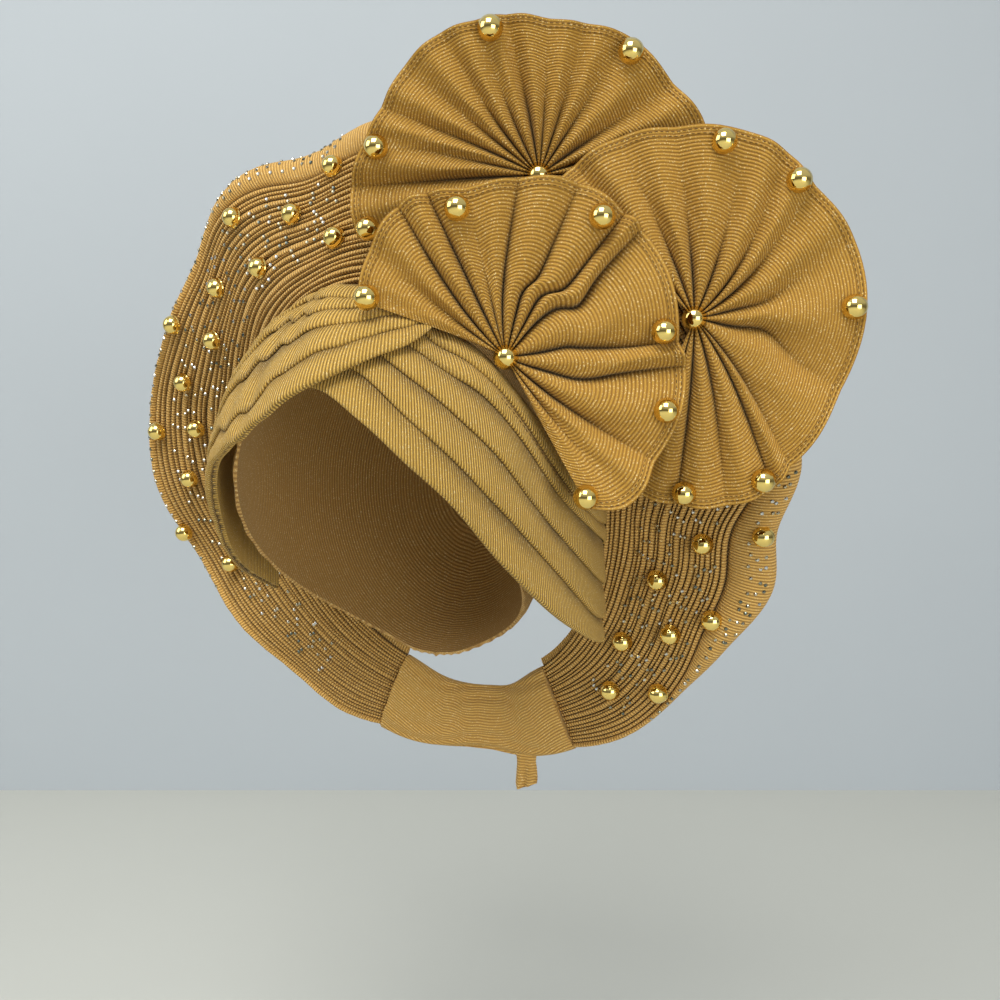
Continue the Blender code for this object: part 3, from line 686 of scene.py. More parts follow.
def make_wing(name, mat):
    """Each pleat: a half-round roll hanging a little below its line, then a falling panel."""
    rows = WINGS[name]
    turns = np.linspace(rows[0][0], rows[-1][0], WING_TURNS)
    ang = np.radians(turns)
    lines = wing_lines(name, turns)
    pinch = np.zeros(lines.shape)
    for where, line, move, wide in PUCKERS[name]:
        away = (turns - where) / wide - np.sign(move)
        pinch[:, line] += abs(move) / PINCH_FULL * np.exp(-(away / PINCH_WIDE) ** 2)
    lap = CLOTH + KNIFE_RISE + SEAT_GAP
    off = smooth(rows, 1, turns) * WING_STAND + smooth(rows, 2, turns) * lap
    rise = smooth(rows, 9, turns) * KNIFE_RISE
    roll = np.linspace(-np.pi / 2, np.pi / 2, ROLL_STEPS)
    panel = np.linspace(0, 1, PANEL_STEPS + 1)[1:-1] ** 1.2
    high = []
    lift = []
    foot = []
    for k in range(WING_PLEATS):
        span = lines[:, k + 1] - lines[:, k]
        puff = (1 + KNIFE_SHIFT * shifting(ang * 5, k * 3.3)) * (1 - 0.6 * pinch[:, k])
        out = np.minimum(KNIFE_OUT * puff, span * 0.3)
        for angle in roll:
            high.append(lines[:, k] - out * np.cos(angle) + 0.1 * out)
            lift.append(rise * puff * (0.56 + 0.48 * np.sin(angle)))
            # Painted shade under the lower half of each roll and in the puckers' dents.
            foot.append(0.95 * max(0.0, -math.sin(angle)) ** 1.2 + 0.6 * pinch[:, k])
        # Painted shadow over the upper part of each panel, under the next pleat's roll, unevenly
        # strong.
        shade = 0.62 + 0.3 * shifting(ang * 8, k * 1.9)
        for share in panel:
            high.append(lines[:, k] + 0.1 * out + (span - 0.1 * out) * share)
            lift.append(rise * puff * panel_rise(share))
            foot.append(shade * max(0.0, share - 0.45) / 0.55)
    high = np.stack(high + [lines[:, 5]], 1)
    lift = np.stack(lift + [rise * 0.1], 1)
    foot = np.stack(foot + [0 * turns], 1)
    around = np.repeat(turns[:, None], high.shape[1], 1)
    ripple = WING_RIPPLE * shifting(np.radians(around) * 11 + high * 160, 5.0)
    front = wing_point(around, high, off[:, None] + CLOTH + lift + ripple)
    inner = lines[:, :1] + (lines[:, 5:] - lines[:, :1]) * np.linspace(0, 1, WING_BACK_STEPS)
    around = np.repeat(turns[:, None], WING_BACK_STEPS, 1)
    back = wing_point(around, inner, np.repeat(off[:, None], WING_BACK_STEPS, 1))
    steps = ROLL_STEPS + PANEL_STEPS - 1
    pick = np.arange(front.shape[1] - 1) // steps * steps + ROLL_STEPS + 3
    pick = np.minimum(pick, front.shape[1] - 1)
    along = row_length(front)[:, pick] + np.sin(pick * 3.7)[None, :] * WING_SLIP
    places = np.stack([row_length(back), column_length(back)], -1)
    pieces = sheet_parts(front, along, back, places)
    return cloth_piece(name + "_cloth", pieces, mat, held(foot))


# groove and deep tones: painted shade in the cord grooves and under the pleats' rolls
wing_finish = ribbed_cloth(
    "wing_finish", (0.68, 0.42, 0.082), (0.18, 0.088, 0.013), (0.045, 0.018, 0.005), 0.75 * MM
)
for name in WINGS:
    wing = make_wing(name, wing_finish)
    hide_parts(name)

# Nape wrap and tie end: a strip of the cloth wound once round both gathered ends of the halo
# behind the nape, its cords lying along it, with the spare end of the strip hanging below.
WRAP_THICK = 12 * MM
WRAP_BEHIND = 2 * MM
WRAP_LOW = 0.73
WRAP_NARROW = 0.78
WRAP_SAG = 6 * MM
WRAP_ROUND = 96
WRAP_STEPS = 120
TIE_WIDE = 15 * MM
TIE_THICK = 5 * MM
TIE_LONG = 20 * MM
TIE_SINK = 3 * MM
TIE_ROUND = 40
TIE_STEPS = 30
TIE_SKEW = 0.12
WRAP_SOFT = 0.15
WRAP_SQUARE = 0.8
WRAP_CREASE = 0.9 * MM
WRAP_CREASES = 11
TIE_SHAPE = ((0.0, 1.0), (0.3, 0.86), (0.6, 0.95), (0.92, 1.0), (1.0, 0.92))
WRAP_FLAT = (0.11, 0.15)
TIE_FLAT = (0.016, 0.022)


def wrap_ring(way, turns):
    """Section of the wrap: a rounded oblong; way is 1 at one end of the halo, -1 at the other."""
    end = BRIM_ROWS[-1][0]
    edge = np.array([[end, 0.0], [end, 1.0]])
    spots = brim_surface(edge[:, 0], edge[:, 1], np.full(2, -BRIM_THICK / 4))
    tilt = unit(spots[1] - spots[0])
    wide = np.linalg.norm(spots[1] - spots[0])
    leave = np.cross(np.array([0.0, 1.0, 0.0]), tilt)
    leave = leave if leave[0] < 0 else -leave
    start = spots.mean(0) + leave * SEAT_GAP * 2
    middle = np.array([0.0, HEAD_DEEP + WRAP_BEHIND, -WRAP_LOW * BRIM_REACH])
    share = abs(way)
    soft = math.hypot(share, WRAP_SOFT) - WRAP_SOFT * (1 - share)
    soft = soft / math.hypot(1, WRAP_SOFT)
    mirror = np.array([1.0 if way >= 0 else -1.0, 1.0, 1.0])
    ease = soft * soft * (3 - 2 * soft)
    bend = (1 - soft) * math.hypot(soft, 0.2) * 4 * WRAP_SAG
    spot = middle + (start - middle) * np.array([share, ease, ease]) - np.array([0, 0, bend])
    down = unit(np.array([0.0, 0.0, -1.0]) * (1 - ease) + tilt * ease)
    half = wide / 2 * (WRAP_NARROW + (1.02 - WRAP_NARROW) * ease)
    a = np.sign(np.cos(turns)) * np.abs(np.cos(turns)) ** WRAP_SQUARE * half
    b = np.sign(np.sin(turns)) * np.abs(np.sin(turns)) ** WRAP_SQUARE * WRAP_THICK / 2
    crease = WRAP_CREASE * np.cos(turns * WRAP_CREASES + 2.6 * np.sin(way * 4 + 1))
    b = b + crease * (1 - 0.35 * share) * np.sign(b)
    return (spot + a[:, None] * down + b[:, None] * np.array([0.0, 1.0, 0.0])) * mirror


def tube_parts(tube, places):
    """A tube of sections, its two ends closed to their middle."""
    pieces = [plain_part(tube, places)]
    for end in (0, -1):
        centre = np.repeat(tube[end][:-1].mean(0)[None], tube.shape[1], 0)
        pieces.append(wall_part(tube[end], centre, places[end]))
    return pieces


def make_wrap(mat):
    """Tube of sections from one end of the halo to the other."""
    turns = np.radians(np.linspace(0, 360, WRAP_ROUND + 1))
    tube = np.stack([wrap_ring(way, turns) for way in np.linspace(1.0, -1.0, WRAP_STEPS)])
    places = np.stack([column_length(tube), row_length(tube)], -1)
    return cloth_piece("nape_wrap", tube_parts(tube, places), mat)


def make_tie(mat):
    """Flattened tube hanging from the lowest point of a section, swelling to its middle."""
    box_low, box_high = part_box("tie_end")
    middle = [(low + high) / 2 for low, high in zip(box_low, box_high)]
    top = np.array([middle[0], middle[1], box_high[2] + TIE_SINK])
    turns = np.radians(np.linspace(0, 360, TIE_ROUND + 1))
    turns, share = np.meshgrid(turns, np.linspace(0, 1, TIE_STEPS), indexing="xy")
    side = np.cos(turns) * smooth(TIE_SHAPE, 1, share)
    x = side * TIE_WIDE / 2
    y = np.sin(turns) * TIE_THICK / 3 + TIE_THICK / 3 * np.cos(side * 7 + share) * share
    z = -(TIE_LONG + TIE_SINK) * share * (1 - TIE_SKEW * side)
    tube = np.stack([x, y, z], -1) + top
    places = np.stack([row_length(tube), column_length(tube)], -1)
    return cloth_piece("tie_cloth", tube_parts(tube, places), mat)


# groove tone: painted shade in the cord grooves
wrap_finish = ribbed_cloth(
    "wrap_finish", (0.60, 0.355, 0.085), (0.30, 0.155, 0.033), (0.10, 0.045, 0.012), 0.35 * MM
)
for make, node, flat in ((make_wrap, "nape_band", WRAP_FLAT), (make_tie, "tie_end", TIE_FLAT)):
    made = make(wrap_finish)
    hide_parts(node)

# Rosettes: three strips of the cloth, pleated and drawn up along one edge to a hub, so that each
# opens into a fan with its cords in rings. The outer edge is a narrow hem with two stitch rows,
# and each fan is sewn down at its hub, under a stud.
FAN_LIFT = 9 * MM
FAN_FOLD = 9 * MM
FAN_WAVE = 3.5 * MM
FAN_ARCH = 0.4
FAN_WALL = 2.2 * MM
FAN_CORD = 0.30 * MM
CORD_STEPS = 4
FAN_SAMPLES = 20
FAN_BACK_STEPS = 26
FAN_START = 0.03
FAN_CROWDING = 0.11
FAN_SLACK = 0.6 * MM
RISE_OVER = 0.12
FOLD_OVER = 0.09
BEND_AT = 0.42
BOW_WIDE = 0.16
JOG_WIDE = 0.05
PRESSED_FROM = 3.5
PRESSED_SPAN = 4
HEM_WIDE = 5.2 * MM
HEM_RISE = 0.35 * MM
HEM_STEP = 0.006
# what carries it, its turn there, its place across or up, its stand-off, facing turn and rise
# (degrees), reach, forward dish of the rim, how far its first edge stands forward
FANS = {
    "rosette_top": ("brim", 28.2, 0.79, 2.2 * MM, 20.5, -14.7, 95 * MM, 5 * MM, 0),
    "rosette_side": ("brim", 60.6, 0.83, 4.0 * MM, 12.5, -7.3, 98 * MM, 6 * MM, 13 * MM),
    "rosette_front": ("wing", 65.0, 0.555, 10.9 * MM, 22.5, -5.5, 86 * MM, 12 * MM, 0),
}
# per fold valley: angle at the rim, angle at the hub, depth share, reach share at the rim,
# bow of the fold half way, jog (degrees) where the fold was pressed over, sharpness
FAN_FOLDS = {
    "rosette_top": (
        (198, 196, 0.3, 1.00, 0, 0, 3),
        (183, 181, 0.9, 0.98, 0, 0, 6),
        (168, 167, 0.5, 0.91, 0, 0, 4),
        (157, 153, 0.8, 0.87, 0, 0, 5),
        (142, 143, 0.7, 0.86, 0, 0, 3),
        (126, 134, 0.8, 0.84, 0, 0, 3),
        (113, 119, 0.7, 0.80, 0, 0, 3),
        (102, 97, 1.0, 0.78, 0, 0, 4),
        (86, 84, 0.5, 0.74, 0, 0, 4),
        (72, 69, 0.7, 0.75, 0, 0, 3),
        (56, 55, 0.7, 0.79, 0, 0, 3),
        (33, 34, 0.9, 0.80, 0, 0, 3),
        (16, 16, 0.6, 0.87, 0, 0, 3),
        (0, 2, 0.7, 0.86, 0, 0, 4),
        (-14, -12, 0.3, 0.86, 0, 0, 3),
    ),
    "rosette_side": (
        (138, 134, 0.3, 0.92, 0, 0, 3),
        (128, 124, 0.9, 0.95, 0, 0, 4),
        (113, 108, 0.8, 0.95, 0, 0, 4),
        (96, 91, 1.0, 0.92, 0, 0, 4),
        (74, 64, 0.8, 0.91, 0, 0, 3),
        (60, 38, 0.8, 0.88, 0, 0, 3),
        (47, 24, 0.9, 0.83, 0, 0, 3),
        (24, 6, 0.7, 0.83, -4, 0, 3),
        (-27, -10, 1.0, 0.80, 9, 0, 5),
        (-57, -44, 0.5, 0.88, 0, 0, 6),
        (-65, -52, 0.8, 0.94, 0, 0, 8),
        (-80, -70, 0.8, 0.96, 0, 0, 6),
        (-95, -90, 0.8, 0.94, 0, 0, 8),
        (-106, -104, 0.6, 0.93, 0, 0, 6),
        (-114, -114, 0.3, 0.92, 0, 0, 3),
    ),
    "rosette_front": (
        (159, 155, 0.2, 0.86, 0, 0, 3),
        (142, 146, 0.6, 0.93, 0, 0, 3),
        (126, 138, 1.0, 0.99, 0, 0, 8),
        (116, 117, 1.0, 0.97, 0, 0, 9),
        (103, 106, 0.4, 0.92, 0, 0, 3),
        (86, 100, 0.8, 0.95, 0, 0, 8),
        (67, 68, 1.0, 1.00, 0, 9, 7),
        (50, 45, 1.0, 1.00, 0, 14, 8),
        (43, 34, 1.0, 1.00, -7, 14, 8),
        (5, 2, 1.0, 0.95, 3, 4, 9),
        (-3, -26, 1.0, 0.99, -4, 0, 9),
        (-35, -45, 1.0, 1.01, 0, 0, 6),
        (-50, -56, 0.5, 1.06, 0, 0, 3),
        (-61, -62, 0.2, 0.95, 0, 0, 3),
    ),
}


def fan_axes(name):
    """Right, up and facing directions of a rosette."""
    a = math.radians(FANS[name][4])
    b = math.radians(FANS[name][5])
    face = np.array([math.sin(a) * math.cos(b), -math.cos(a) * math.cos(b), math.sin(b)])
    right = np.array([math.cos(a), math.sin(a), 0.0])
    return right, np.cross(face, right), face


def fan_hub(name):
    """Where a rosette is sewn on: a place on the halo or the wings and a stand-off."""
    carrier, turn, place, off = FANS[name][:4]
    turn = np.array(float(turn))
    if carrier == "brim":
        return brim_surface(turn, np.array(place), np.array(PLEAT_RISE + off))
    return wing_point(turn, np.array(place * HEAD_HIGH), np.array(CLOTH + KNIFE_RISE + off))


def pressed_share(sharp):
    """How far a fold of this sharpness was pressed flat, from 0 to 1."""
    return held((sharp - PRESSED_FROM) / PRESSED_SPAN)


def fan_point(name, place, ring, cords=True):
    """Polar surface: folds between valleys, deep at the hub and soft at the rim, under cords."""
    reach, dish, stand = FANS[name][6:]
    folds = np.array(FAN_FOLDS[name], float)
    bend = (1 - ring) ** 1.5
    bow = np.exp(-((ring - BEND_AT) / BOW_WIDE) ** 2)
    first = np.clip(np.floor(place), 0, len(folds) - 2).astype(int)
    part = place - first

    def blend(column):
        return folds[first, column] * (1 - part) + folds[first + 1, column] * part

    jog = blend(5)
    inside = 0.5 - 0.5 * np.tanh((ring - BEND_AT - 0.02 * (jog - 9) / 6) / JOG_WIDE)
    angle = blend(0) + (blend(1) - blend(0)) * bend + blend(4) * bow + jog * inside
    angle = np.radians(angle)[..., None]
    rows = np.stack([np.arange(len(folds)), folds[:, 3]], 1)
    far = smooth(rows, 1, place) * reach
    lift = FAN_LIFT * (1 - np.exp(-ring / RISE_OVER)) * (1 - 0.35 * ring)
    away = np.abs(2 * part - 1)
    near = folds[np.where(part < 0.5, first, first + 1)]
    sharp = near[..., 6]
    pressed = pressed_share(blend(6))
    depth = FAN_FOLD * (1 - np.exp(-ring / FOLD_OVER)) * (1.03 - ring) ** (0.85 - 0.4 * pressed)
    eased = held((ring - 0.22) / 0.45) * (1 - pressed)
    roll = 0.45 * away ** 2.2 + 0.55 * away ** (2.2 + sharp)
    wave = 0.5 - 0.5 * np.cos(np.pi * away)
    cut = near[..., 2] * (roll * (1 - eased) + wave * eased)
    soft = FAN_WAVE * ring * (blend(2) * wave + 0.35 * shifting(place * 1.9, 4.0))
    high = lift - depth * cut - soft + dish * ring
    high = high + FAN_SLACK * shifting(place * 5.2 + ring * 7, 2.0) * np.sin(np.pi * ring)
    high = high + stand * ring * held(1 - place / 2.6) ** 1.5
    hem = held((ring - 1 + HEM_WIDE / reach) / HEM_STEP)
    high = high + HEM_RISE * hem
    if cords:
        cord = 0.5 - 0.5 * np.cos(2 * np.pi * round(reach / CORD_PITCH) * ring)
        high = high + FAN_CORD * cord * (1 - 0.75 * hem)
    right, up, face = fan_axes(name)
    arch = FAN_ARCH * depth * (0.5 - away ** 2) * np.minimum(ring / 0.2, 1)
    out = (ring * far + arch)[..., None] * (np.cos(angle) * right + np.sin(angle) * up)
    return fan_hub(name) + out + high[..., None] * face


def fan_places(name):
    """Places round a fan, closer together at the valleys."""
    count = len(FAN_FOLDS[name])
    part = np.linspace(0, 1, FAN_SAMPLES + 1)[:-1]
    part = part - FAN_CROWDING * np.sin(2 * np.pi * part)
    return np.append((np.arange(count - 1)[:, None] + part[None, :]).ravel(), count - 1.0)


def make_fan(name, mat):
    """Front with real cords, a plain back one wall behind it, closed round the edge."""
    reach = FANS[name][6]
    count = round(reach / CORD_PITCH)
    fine = count * CORD_STEPS
    rings = np.arange(round(FAN_START * fine), fine + 1) / fine
    place, ring = np.meshgrid(fan_places(name), rings, indexing="ij")
    front = fan_point(name, place, ring)
    coarse = np.linspace(rings[0], 1.0, FAN_BACK_STEPS)
    place_b, ring_b = np.meshgrid(fan_places(name), coarse, indexing="ij")
    back = fan_point(name, place_b, ring_b, cords=False) - fan_axes(name)[2] * FAN_WALL
    places = np.stack([ring * count * CORD_PITCH, row_length(front)], -1)
    places_b = np.stack([ring_b * count * CORD_PITCH, row_length(back)], -1)
    spread = np.round(np.linspace(0, FAN_BACK_STEPS - 1, front.shape[1])).astype(int)
    # Painted shade in the fold valleys: strongest at the hub, fading towards the rim, reaching
    # further on pressed folds.
    away = np.abs(2 * (place - np.floor(place)) - 1)
    sharp = [fold[6] for fold in FAN_FOLDS[name]]
    pressed = pressed_share(np.interp(place, np.arange(len(sharp)), sharp))
    start = 0.58 - 0.05 * pressed + 0.3 * ring
    foot = 0.97 * held((away - start) / (1 - start)) ** 1.2
    foot = foot * (1 - ring) ** (1.7 - 1.3 * pressed)
    pieces = [plain_part(front, places), plain_part(back, places_b)]
    for edge in (0, -1):
        pieces.append(wall_part(front[:, edge], back[:, edge], places[:, edge]))
        pieces.append(wall_part(front[edge], back[edge][spread], places[edge]))
    return cloth_piece(name + "_cloth", pieces, mat, foot)


# groove and deep tones: painted shade in the cord grooves and in the fold valleys
fan_finish = ribbed_cloth(
    "rosette_finish", (0.44, 0.242, 0.034), (0.20, 0.092, 0.011), (0.04, 0.016, 0.004), 0.15 * MM
)
for name in FANS:
    fan = make_fan(name, fan_finish)
    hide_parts(name)

# Studs: hollow pressed domes with a bright gold plating, each with a narrow turned rim that
# lies on the cloth and prongs behind it. One holds each rosette's gathers at the hub, the
# others are scattered along the rims and over the halo.
STUD_WIDE = 12 * MM
STUD_HIGH = 7 * MM
STUD_ROUND = 28
# height of a stud's solid with its seat, as a share of the dome's
STUD_SOLID = 1.15
MARK_SCALE = 420
MARK_TONE = 0.86
# share of the height, share of the half width
STUD_PROFILE = (
    (0.00, 0.97),
    (0.03, 1.00),
    (0.09, 1.00),
    (0.13, 0.95),
    (0.22, 0.945),
    (0.34, 0.93),
    (0.48, 0.88),
    (0.62, 0.80),
    (0.75, 0.68),
    (0.86, 0.52),
    (0.94, 0.34),
    (0.985, 0.17),
    (1.00, 0.0),
)


def stud_places():
    """Base centre and axis of each stud, read from its CAD node's corners."""
    found = []
    for name in sorted(n for n in frame["nodes"] if n.startswith("stud_")):
        mesh = frame["nodes"][name].data
        spots = np.zeros(len(mesh.vertices) * 3)
        mesh.vertices.foreach_get("co", spots)
        spots = np.unique(np.round(spots.reshape(-1, 3), 6), axis=0)
        middle = spots.mean(0)
        spread = np.linalg.svd(spots - middle)[2]
        tall = [np.abs((spots - middle) @ way).max() * 2 for way in spread]
        axis = spread[np.argmin(np.abs(np.array(tall) - STUD_HIGH * STUD_SOLID))]
        high = (spots - middle) @ axis
        if np.sum(high > high.max() - 0.5 * MM) > np.sum(high < high.min() + 0.5 * MM):
            axis = -axis
            high = -high
        base = spots[high < high.min() + 0.2 * MM].mean(0)
        top = spots[np.argmax(high)]
        found.append((name, base, unit(top - base)))
    return found


def make_studs(mat):
    """Profile turned round each stud's axis; all the studs are one mesh."""
    turns = np.radians(np.linspace(0, 360, STUD_ROUND + 1))
    profile = np.array(STUD_PROFILE)
    pieces = []
    names = []
    for name, base, axis in stud_places():
        right = unit(np.cross(axis, np.array([0.0, 0.0, 1.0])))
        up = np.cross(right, axis)
        ring = np.cos(turns)[:, None] * right + np.sin(turns)[:, None] * up
        rise = profile[:, 0] * STUD_HIGH
        wide = profile[:, 1] * STUD_WIDE / 2
        grid = base + (axis * rise[:, None])[None] + ring[:, None, :] * wide[None, :, None]
        places = np.broadcast_arrays(turns[:, None] * STUD_WIDE / 2, rise[None])
        places = np.stack(places, -1)
        pieces.append(plain_part(grid, places))
        centre = np.repeat(base[None, :], len(turns), 0)
        pieces.append(wall_part(centre, grid[:, 0], places[:, 0]))
        names.append(name)
    obj = cloth_piece("gold_studs", pieces, mat)
    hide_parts(*names)
    return obj


def polished(name, colour, rough, scratch):
    """Bright plating: a plain metal whose shine is broken by faint wipe marks."""
    mat, tree, shader = bare_finish(name)
    marks = noise(tree, MARK_SCALE, 4.0)
    feed(tree, shader, {
        "Metallic": 1.0,
        "Roughness": reckon(tree, "MULTIPLY_ADD", marks, scratch, rough),
        "Base Color": mixed(tree, marks, colour, tuple(MARK_TONE * c for c in colour)),
    })
    return mat


stud_finish = polished("stud_finish", (0.95, 0.71, 0.22), 0.01, 0.04)
studs = make_studs(stud_finish)

# Rhinestones: small foil-backed crystals ironed into the grooves of the halo's middle and outer
# pleats and, in two or three rows, along the flange. Each has a flat table and eight facets.
STONE_WIDE = 2.2 * MM
STONE_HIGH = 0.9 * MM
STONE_SEED = 11
STONE_KEPT = 0.86
STONE_CLEAR = 0.68
STONE_SLOPE_AT = 0.8
GROOVE_RADIUS = 95 * MM
FLANGE_RADIUS = 195 * MM
GROOVE_PLACE = 0.15
GROOVE_LIFT = 0.6 * MM
STONE_TINTS = ((0.38, (0.64, 0.64, 0.60)), (0.5, (0.50, 0.44, 0.30)), (0.62, (0.16, 0.18, 0.15)))
STONE_TINT_SCALE = 95
# height as a share of the stone's, half width as a share of its half width
STONE_RINGS = ((-0.3, 0.0), (0.0, 1.0), (0.25, 1.0), (0.85, 0.55), (0.85, 0.0))
GROOVE_STEP = 13 * MM
FLANGE_STEP = 6.5 * MM
# turn from, turn to, first and last pleat groove that holds stones
STONE_FIELDS = (
    (-140, -110, 10, 19),
    (-110, -62, 7, 20),
    (-62, -8, 8, 21),
    (78, 104, 7, 21),
    (104, 128, 7, 22),
    (128, 146, 10, 20),
)
# turn from, turn to, shares of the flange that hold a row
FLANGE_FIELDS = (
    (-38, -8, (0.35, 0.6, 0.8)),
    (-75, -38, (0.42,)),
    (-112, -75, (0.4,)),
    (78, 118, (0.42, 0.6, 0.76)),
    (118, 140, (0.45,)),
)


def stone_places():
    """Spots and outward ways of the stones: uneven steps along the grooves, clear of the studs."""
    chance = np.random.default_rng(STONE_SEED)
    found = []
    for start, stop, first, last in STONE_FIELDS:
        for groove in range(first, last + 1):
            radius = (GROOVE_RADIUS + GROOVE_RADIUS * groove / BRIM_PLEATS) * math.radians(1)
            many = max(1, int((stop - start) * radius / GROOVE_STEP))
            spots = np.arange(many) + chance.uniform(0.1, 0.9, many)
            spots = start + spots * (stop - start) / many
            spots = spots[chance.uniform(size=many) < STONE_KEPT]
            found.append(np.stack([spots, 0 * spots + groove, 0 * spots - 1]))
    for start, stop, rows in FLANGE_FIELDS:
        for share in rows:
            many = int((stop - start) * math.radians(1) * FLANGE_RADIUS / FLANGE_STEP)
            spots = np.arange(many) + chance.uniform(0.2, 0.8, many)
            spots = start + spots * (stop - start) / many
            shares = share + chance.uniform(-0.05, 0.05, many)
            found.append(np.stack([spots, 0 * spots, shares]))
    turn, count, share = np.concatenate(found, 1)
    grooved = (share < 0)[:, None]
    count = count + np.where(share < 0, GROOVE_PLACE, 0.0)
    share = np.clip(share, 0.02, 0.97)
    slope = flange_spot(turn, share + 0.02) - flange_spot(turn, share - 0.02)
    out = 0 * turn + STONE_SLOPE_AT
    along = brim_base(turn + SLOPE_STEP, out) - brim_base(turn - SLOPE_STEP, out)
    plain = brim_normal(turn, out)
    spot = np.where(grooved, halo_spot(turn, count) + plain * GROOVE_LIFT, flange_spot(turn, share))
    way = np.where(grooved, plain, unit(np.cross(along, slope)))
    clear = np.ones(len(spot), bool)
    for _, base, _ in stud_places():
        clear &= np.linalg.norm(spot - base, axis=1) > STONE_CLEAR * STUD_WIDE
    return spot[clear], way[clear]


def make_stones(mat):
    """Eight-sided cut: a girdle, a smaller table above it and a point behind, all as one mesh."""
    spots, ways = stone_places()
    right = unit(np.cross(ways, np.array([0.3, 0.1, 1.0])))
    up = np.cross(right, ways)
    turns = np.radians(np.arange(9) * 45.0)
    high, wide = np.array(STONE_RINGS).T
    high = high * STONE_HIGH
    wide = wide * STONE_WIDE / 2
    pieces = []
    for spot, way, a, b in zip(spots, ways, right, up):
        ring = np.cos(turns)[:, None] * a + np.sin(turns)[:, None] * b
        grid = spot + (way * high[:, None])[None] + ring[:, None, :] * wide[None, :, None]
        pieces.append(plain_part(grid, np.zeros(grid.shape[:2] + (2,))))
    obj = cloth_piece("rhinestones", pieces, mat)
    obj.data.shade_flat()
    return obj


def ramp(tree, value, stops):
    """Colour at a value, between stops of a place and a colour."""
    node = add(tree, "ShaderNodeValToRGB")
    elements = node.color_ramp.elements
    elements.remove(elements[1])
    for number, (place, colour) in enumerate(stops):
        stop = elements.new(place) if number else elements[0]
        stop.position = place
        stop.color = (*colour, 1)
    feed(tree, node, {0: value})
    return node.outputs[0]


def crystal(name):
    """Foil-backed crystal: mirror facets whose tint changes from stone to stone."""
    mat = polished(name, (0.86, 0.88, 0.90), 0.12, 0.1)
    tree = mat.node_tree
    tint = ramp(tree, noise(tree, STONE_TINT_SCALE), STONE_TINTS)
    feed(tree, tree.nodes["Principled BSDF"], {"Base Color": tint})
    return mat


stones = make_stones(crystal("stone_finish"))
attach(stones, "root")

# Stitching: the rosettes' hems are held by two rows of running stitch in matching thread, and the
# left wing has two rows along the band that joins its upper pleats.
STITCH_LONG = 1.9 * MM
STITCH_GAP = 0.9 * MM
STITCH_THICK = 0.42 * MM
STITCH_SHAPE = ((0.0, 0.25), (0.25, 1.0), (0.75, 1.0), (1.0, 0.25))
HEM_ROWS = (2.3 * MM, 4.6 * MM)
HEM_SAMPLES = 600
# turns between which the left wing is stitched, shares up its fourth pleat of the two rows
WING_STITCHED = (58, 92)
WING_ROWS = (0.42, 0.68)


def stitch_row(line, normal):
    """Short spindles laid end to end along a line, each half sunk in the cloth."""
    way = row_length(line[:, None])[:, 0]
    pitch = STITCH_LONG + STITCH_GAP
    shares, thick = np.array(STITCH_SHAPE).T
    starts = np.arange(int(way[-1] / pitch)) * pitch
    where = starts[:, None] + shares[None, :] * STITCH_LONG
    spine = np.stack([np.interp(where, way, line[:, c]) for c in range(3)], -1)
    over = unit(np.stack([np.interp(where, way, normal[:, c]) for c in range(3)], -1))
    along = unit(spine[:, -1:] - spine[:, :1])
    side = unit(np.cross(along + 0 * over, over))
    turns = np.radians(np.arange(6) * 72.0)
    thick = thick * STITCH_THICK / 2
    ring = np.cos(turns)[:, None] * side[:, :, None] + np.sin(turns)[:, None] * over[:, :, None]
    tubes = (spine + over * STITCH_THICK * 0.2)[:, :, None] + ring * thick[None, :, None, None]
    return [part for tube in tubes for part in tube_parts(tube, np.zeros(tube.shape[:2] + (2,)))]


def make_stitches(mat):
    """Hem rows of the three rosettes and the double row on the left wing."""
    pieces = []
    for name in FANS:
        place = np.linspace(0.02, len(FAN_FOLDS[name]) - 1.02, HEM_SAMPLES)
        face = np.repeat(fan_axes(name)[2][None], HEM_SAMPLES, 0)
        for inset in HEM_ROWS:
            ring = 1 - inset / FANS[name][6] + 0 * place
            pieces += stitch_row(fan_point(name, place, ring), face)
    turns = np.linspace(*WING_STITCHED, 200)
    lines = wing_lines("left_wing", turns)
    for share in WING_ROWS:
        high = lines[:, 3] + (lines[:, 4] - lines[:, 3]) * share
        rise = KNIFE_RISE * (1.04 - KNIFE_FALL * share ** 1.6 + KNIFE_BELLY)
        off = smooth(WINGS["left_wing"], 1, turns) * WING_STAND + CLOTH + rise
        line = wing_point(turns, high, off)
        pieces += stitch_row(line, line - wing_point(turns, high, off - MM))
    return cloth_piece("hem_stitches", pieces, mat)


# groove tone: painted shade in the cord grooves
thread_finish = ribbed_cloth(
    "thread_finish", (0.17, 0.085, 0.02), (0.10, 0.05, 0.01), (0.1, 0.05, 0.01), 0.05 * MM
)
make_stitches(thread_finish)

# Camera: where the photograph was taken from, a little over half a metre away on the rosettes'
# side and level with the wings.
CAMERA_AT = (0.27229, -0.51211, 0.02)
CAMERA_YAW = 22.8
CAMERA_DIP = 2.6
CAMERA_LENS = 37.8


def put(name, data):
    """An object of this data, linked to the scene."""
    obj = bpy.data.objects.new(name, data)
    bpy.context.scene.collection.objects.link(obj)
    return obj


view = bpy.data.cameras.new("photo_view")
view.lens = CAMERA_LENS
view.sensor_width = 36
camera = put("photo_view", view)
camera.location = CAMERA_AT
camera.rotation_euler = (math.radians(90 - CAMERA_DIP), 0, math.radians(CAMERA_YAW))
bpy.context.scene.camera = camera

# Stage: a plain pale floor at table height below the head tie and a plain grey wall behind it,
# square to the camera's view, each one flat quad.
FLOOR_DOWN = -0.455
WALL_BACK = 0.88
WALL_TOP = 2.6
STAGE_WIDE = 6.0
STAGE_ROUGH = 0.85
STAGE_TONE = 0.96


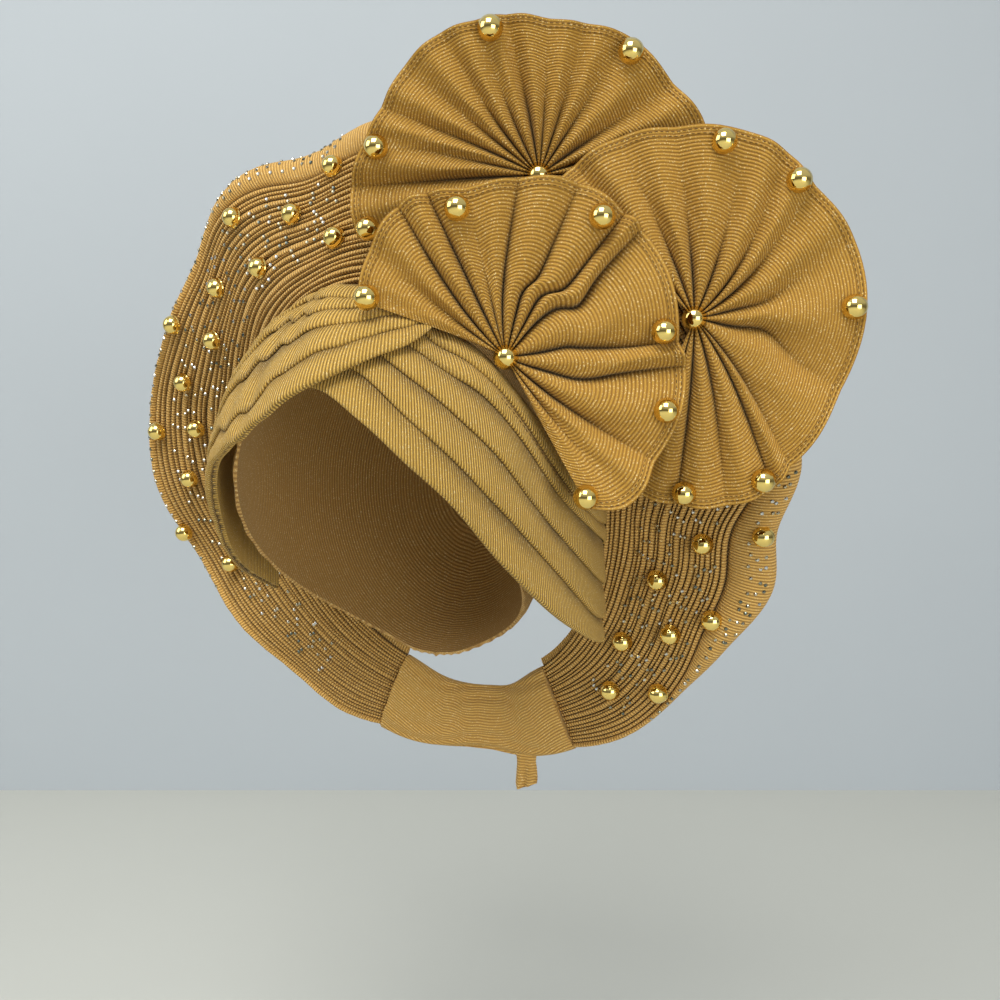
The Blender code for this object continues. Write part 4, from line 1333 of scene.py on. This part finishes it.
def make_stage(name, corners, colour):
    """One flat quad of paper or painted board, very faintly mottled."""
    mesh = bpy.data.meshes.new(name)
    mesh.from_pydata(corners, [], [(0, 1, 2, 3)])
    mat, tree, shader = bare_finish(name)
    tone = mixed(tree, noise(tree, 3.0), colour, tuple(STAGE_TONE * c for c in colour))
    feed(tree, shader, {"Base Color": tone, "Roughness": STAGE_ROUGH})
    mesh.materials.append(mat)
    put(name, mesh)


half = STAGE_WIDE / 2
ground = [(x * half, y * half, FLOOR_DOWN) for x, y in ((-1, -1), (1, -1), (1, 1), (-1, 1))]
make_stage("floor", ground, (0.52, 0.52, 0.46))
turned = math.radians(CAMERA_YAW)
across = np.array([math.cos(turned), math.sin(turned)]) * half
behind = np.array([-math.sin(turned), math.cos(turned)]) * WALL_BACK
wall = [(*(behind - across), FLOOR_DOWN), (*(behind + across), FLOOR_DOWN)]
wall += [(*(behind + across), WALL_TOP), (*(behind - across), WALL_TOP)]
make_stage("wall", wall, (0.44, 0.475, 0.49))

# Light: one broad soft source high in front, two weaker ones, and a surround that is pale above
# and below with a greyer band at the horizon, as a room is.
# place, point aimed at, width, power
LIGHTS = (
    ((0.15, -1.35, 1.8), (0.0, 0.0, 0.05), 1.3, 50),
    ((-1.5, -1.1, 0.9), (0.0, 0.0, 0.0), 1.3, 14),
    ((1.3, -0.9, -0.1), (0.1, 0.0, -0.1), 1.0, 13),
)
ROOM_POWER = 0.6
# height of the way looked in (-1 to 1 taken as 0 to 1), colour there
ROOM = (
    (0.0, (0.62, 0.60, 0.54)),
    (0.42, (0.50, 0.48, 0.43)),
    (0.47, (0.24, 0.24, 0.23)),
    (0.58, (0.30, 0.31, 0.32)),
    (0.70, (0.75, 0.80, 0.88)),
    (1.0, (0.95, 1.0, 1.1)),
)
for number, (place, target, size, power) in enumerate(LIGHTS):
    lamp = bpy.data.lights.new("soft_light_%d" % (number + 1), "AREA")
    lamp.shape = "SQUARE"
    lamp.size = size
    lamp.energy = power
    holder = put(lamp.name, lamp)
    holder.location = place
    way = np.array(target) - np.array(place)
    flat = math.hypot(way[0], way[1])
    holder.rotation_euler = (math.atan2(flat, -way[2]), 0, math.atan2(-way[0], way[1]))

surround = bpy.data.worlds.new("surround")
surround.use_nodes = True
air = surround.node_tree
looked = add(air, "ShaderNodeSeparateXYZ")
feed(air, looked, {0: add(air, "ShaderNodeTexCoord").outputs["Object"]})
level = reckon(air, "MULTIPLY_ADD", looked.outputs[2], 0.5, 0.5)
feed(air, air.nodes["Background"], {"Color": ramp(air, level, ROOM), "Strength": ROOM_POWER})
bpy.context.scene.world = surround
bpy.context.scene.view_settings.view_transform = "Standard"
